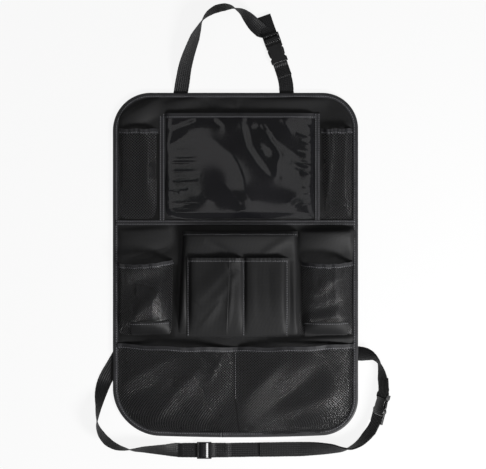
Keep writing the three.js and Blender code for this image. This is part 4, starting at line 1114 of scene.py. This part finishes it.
def ladderPath(entry):
    return [(entry, lowLayer), (midBarEnd - 1, lowLayer),
            *halfTurn(midBarEnd + 0.9, True, True),
            (midBarStart + 0.2, overBar), (midBarStart - 1, overBar - 0.5),
            (midBarStart - 2.4, highLayer + 0.6), (midBarStart - 3.4, highLayer + 0.1),
            (midBarStart - 4.4, highLayer)]


def housingPath():
    return [(buckleEnd + webbing["loopLap"] - 1, highLayer), (buckleEnd + 8, highLayer),
            (buckleEnd + 4.5, highLayer + 0.4), (buckleEnd + 1.5, overBar - 0.4),
            (tailBar + buckle["barWidth"] - 1, overBar),
            *halfTurn(tailBar - 0.4, False, False),
            (tailBar + buckle["barWidth"], lowLayer), (buckleEnd + 2, lowLayer)]


# the slider's two loops: round its middle bar from the left, round its right bar from the right
def sliderLeftPath(lap):
    half, outer = slider["half"], slider["outer"]
    return [(-lap - 7, lowLayer), (-lap - 1, highLayer), (-outer - 4, highLayer), (-outer + 1, highLayer),
            (-outer + 3.8, highLayer + 0.3), (-outer + 5.6, highLayer + 1.3), (-half - 2.6, overBar - 0.4),
            (-half - 0.8, overBar), *halfTurn(half, True, False), (-half, lowLayer),
            (-outer, lowLayer), (-lap + 1.5, lowLayer)]


def sliderRightPath(bar, lap):
    return [(lap - 1, lowLayer), (bar + slider["bar"], lowLayer),
            *halfTurn(bar + 0.2, False, True), (bar + 3.8, overBar),
            (bar + 6.3, overBar - 0.6), (bar + 9.3, highLayer + 0.3), (bar + 12.3, highLayer),
            (lap + 1, highLayer), (lap + 8, lowLayer)]


# the strap goes on behind the panel's edge, where it is sewn
def sewnEnd(stations, before):
    (end, across), (following, _) = (stations[0], stations[1]) if before else (stations[-1], stations[-2])
    way = unit((end - following) * [1, 1, 0])
    far = [(end + way * webbing["sewnLap"] * k, across) for k in (0.5, 1.0)]
    return far[::-1] + stations if before else stations + far


# the first stations of a strap, up to a length along it
def upTo(stations, length):
    kept, run = [stations[0]], 0.0
    for station in stations[1:]:
        step = float(np.linalg.norm(station[0] - kept[-1][0]))
        if run + step >= length:
            return kept + [(mix(kept[-1][0], station[0], (length - run) / step), station[1])]
        run += step
        kept.append(station)
    return kept


# webbing with low lengthwise ribs and slightly wavy edges
def ribbon(name, stations, replaces):
    path, across = (np.array(row) for row in zip(*stations))
    s = runs(path)
    stops = np.unique(np.concatenate([s, np.arange(0, s[-1], webbing["spacing"])]))
    stops = stops[np.concatenate([[True], np.diff(stops) > 0.25])]
    path = follow(stops, s, path)
    across = unit(follow(stops, s, across))
    up = unit(np.cross(unit(np.gradient(path, axis=0)), across))
    section = tapeSection(webbing["width"], webbing["thickness"] - 0.2, webbing["ribs"], webbing["ribRise"],
                          webbing["steps"])
    wave = 1 + waves(stops, webbing["wave"])
    sections = section[None] * np.stack([wave, np.ones_like(wave)], 1)[:, None]
    piece = sweep(name, path, across, up, sections, polypropylene, "webbing", replaces)


# box of stitches with a cross, on top of a webbing lap
def boxStitch(name, axes, start, end):
    base, forward, normal, across = axes
    side = webbing["width"] / 2 - 3
    corners = [(start, -side), (end, -side), (end, side), (start, side), (start, -side), (end, side)]
    path = np.array([base + forward * y + across * x + normal * (highLayer + 0.75) for y, x in corners])
    fine = np.concatenate([np.linspace(a, b, 14)[:-1] for a, b in zip(path[:-1], path[1:])])
    stitchRow(name, fine, np.broadcast_to(normal, fine.shape), **webbing["stitches"])


def buildStraps():
    headrestAxes = buckleAxes(topEdge, *buckle["headrest"])
    seatAxes = buckleAxes(rightCorner, *buckle["seat"])
    sliderAxes = (np.array([slider["x"], slider["y"], floorLevel]), *np.eye(3)[[0, 2, 1]])
    main = sewnEnd(along(topEdge, routes["headrest"], lowLayer), True)
    tail = [(-8, highLayer), (-20, highLayer), (-33, highLayer)]
    ribbon("headrestWebbing", main + threaded(headrestAxes, ladderPath(2) + tail), ["headrest_strap"])
    stub = sewnEnd(along(topEdge, routes["headrestStub"], lowLayer), False)
    ribbon("headrestStubWebbing", threaded(headrestAxes, housingPath()) + stub, ["headrest_strap_stub"])
    boxStitch("headrestStubStitches", headrestAxes, buckleEnd + 6, buckleEnd + 21)
    lap = slider["outer"] + webbing["loopLap"]
    main = sewnEnd(along(leftCorner, routes["seatLeft"], lowLayer), True)
    ribbon("seatLeftWebbing", main + threaded(sliderAxes, sliderLeftPath(lap)), ["seat_strap_left"])
    boxStitch("seatLeftStitches", sliderAxes, -lap + 2, -lap + 18)
    bar = slider["half"] + slider["slot"] + 1.6
    lap = bar + slider["bar"] + webbing["loopLap"]
    start = (slider["x"] + lap + 9 - rightCorner[0], slider["y"] - rightCorner[1], 0, 2)
    route = [start, *routes["seatRight"]]
    main = along(rightCorner, route, lowLayer)
    tail = upTo(along(rightCorner, route, highLayer)[::-1], webbing["tail"])
    loop, ladder = threaded(sliderAxes, sliderRightPath(bar, lap)), threaded(seatAxes, ladderPath(-1))
    ribbon("seatRightWebbing", loop + main + ladder + tail, ["seat_strap_right"])
    boxStitch("seatRightStitches", sliderAxes, bar + 10, lap - 2)
    lap = upTo(along(rightCorner, routes["seatStub"], highLayer), webbing["loopLap"] - 10)[::-1]
    stub = sewnEnd(along(rightCorner, routes["seatStub"], lowLayer), False)
    ribbon("seatStubWebbing", lap + threaded(seatAxes, housingPath()[1:]) + stub, ["seat_strap_stub"])


# the buckles and the slider are the solids themselves
def dressBuckles():
    for name in ("headrest_buckle_clip", "headrest_buckle_housing", "seat_buckle_clip",
                 "seat_buckle_housing", "strap_slider"):
        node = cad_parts[name]
        node.data.materials.clear()
        node.data.materials.append(acetal)


stage = {  # in metres
    "floorHalf": 12.0, "floorGlow": 0.88, "world": 0.09,
    "floorGap": 0.3,  # mm under the webbing, whose ribs would dip in
    "lights": [  # place, size, power in watts
        ((1.1, -0.98, 0.88), (0.45, 0.45), 41.0),
        ((-1.5, 1.5, 1.5), (0.9, 0.9), 4.0),
        ((-0.95, 0.35, 1.75), (1.8, 1.0), 2.8),
        ((0.95, 0.35, 1.75), (1.8, 1.0), 2.8),
        ((0.1, -1.0, 1.75), (1.5, 0.7), 1.7),
    ],
    "camera": (0.01255, 0.05103, 1.92), "lens": 85.0, "sensor": 36.0,
}


# a floor that lights the part as grey paper does and looks almost white to the camera
def buildFloor():
    mesh = bpy.data.meshes.new("floor")
    half = stage["floorHalf"]
    corners = [(-half, -half, 0), (half, -half, 0), (half, half, 0), (-half, half, 0)]
    mesh.from_pydata(corners, [], [(0, 1, 2, 3)])
    floor = bpy.data.objects.new("floor", mesh)
    floor.location.z = (floorLevel - stage["floorGap"]) * mm
    bpy.context.scene.collection.objects.link(floor)
    material = bpy.data.materials.new("paleFloor")
    material.use_nodes = True
    tree = material.node_tree
    tree.nodes.clear()
    output = addNode(tree, "ShaderNodeOutputMaterial")
    rays = addNode(tree, "ShaderNodeLightPath").outputs
    lit = addNode(tree, "ShaderNodeBsdfDiffuse", {"Color": (0.8, 0.8, 0.8, 1.0)})
    glow = addNode(tree, "ShaderNodeEmission", {"Color": (1.0, 1.0, 1.0, 1.0), "Strength": 1.0})
    seen = rays["Is Camera Ray"]  # and in reflections, and through the film
    for kind in ("Is Glossy Ray", "Is Transmission Ray"):
        either = addNode(tree, "ShaderNodeMath", {"operation": "MAXIMUM"}, {0: seen, 1: rays[kind]})
        seen = either.outputs[0]
    share = addNode(tree, "ShaderNodeMath", {"operation": "MULTIPLY", 1: stage["floorGlow"]}, {0: seen})
    blend = addNode(tree, "ShaderNodeMixShader", {},
                    {0: share.outputs[0], 1: lit.outputs[0], 2: glow.outputs[0]})
    tree.links.new(blend.outputs[0], output.inputs["Surface"])
    mesh.materials.append(material)


def buildStage():
    buildFloor()
    scene = bpy.context.scene
    world = bpy.data.worlds.new("studio")
    world.use_nodes = True
    background = world.node_tree.nodes["Background"]
    background.inputs["Color"].default_value = (1, 1, 1, 1)
    background.inputs["Strength"].default_value = stage["world"]
    scene.world = world
    for k, (place, (width, depth), power) in enumerate(stage["lights"]):
        data = bpy.data.lights.new(f"softbox{k}", "AREA")
        data.shape = "RECTANGLE"
        data.size, data.size_y = width, depth
        data.energy = power
        lamp = bpy.data.objects.new(f"softbox{k}", data)
        lamp.location = place
        lamp.rotation_euler = (-Vector(place)).to_track_quat("-Z", "Y").to_euler()
        lamp.visible_camera = False
        scene.collection.objects.link(lamp)
    data = bpy.data.cameras.new("camera")
    data.sensor_fit = "HORIZONTAL"
    data.sensor_width = stage["sensor"]
    data.lens = stage["lens"]
    camera = bpy.data.objects.new("camera", data)
    camera.location = stage["camera"]
    scene.collection.objects.link(camera)
    scene.camera = camera
    scene.view_settings.view_transform = "Standard"


buildPanel()
buildBinding()
print("panel and binding")
buildTabletPocket()
buildUpperNets()
buildSeam()
print("top row")
buildMiddlePockets()
for bottleSide in ("left", "right"):
    buildBottlePocket(bottleSide)
print("middle row")
buildBottomPocket()
print("bottom pocket")
buildStraps()
dressBuckles()
print("straps and buckles")
buildStage()
bpy.context.view_layer.update()
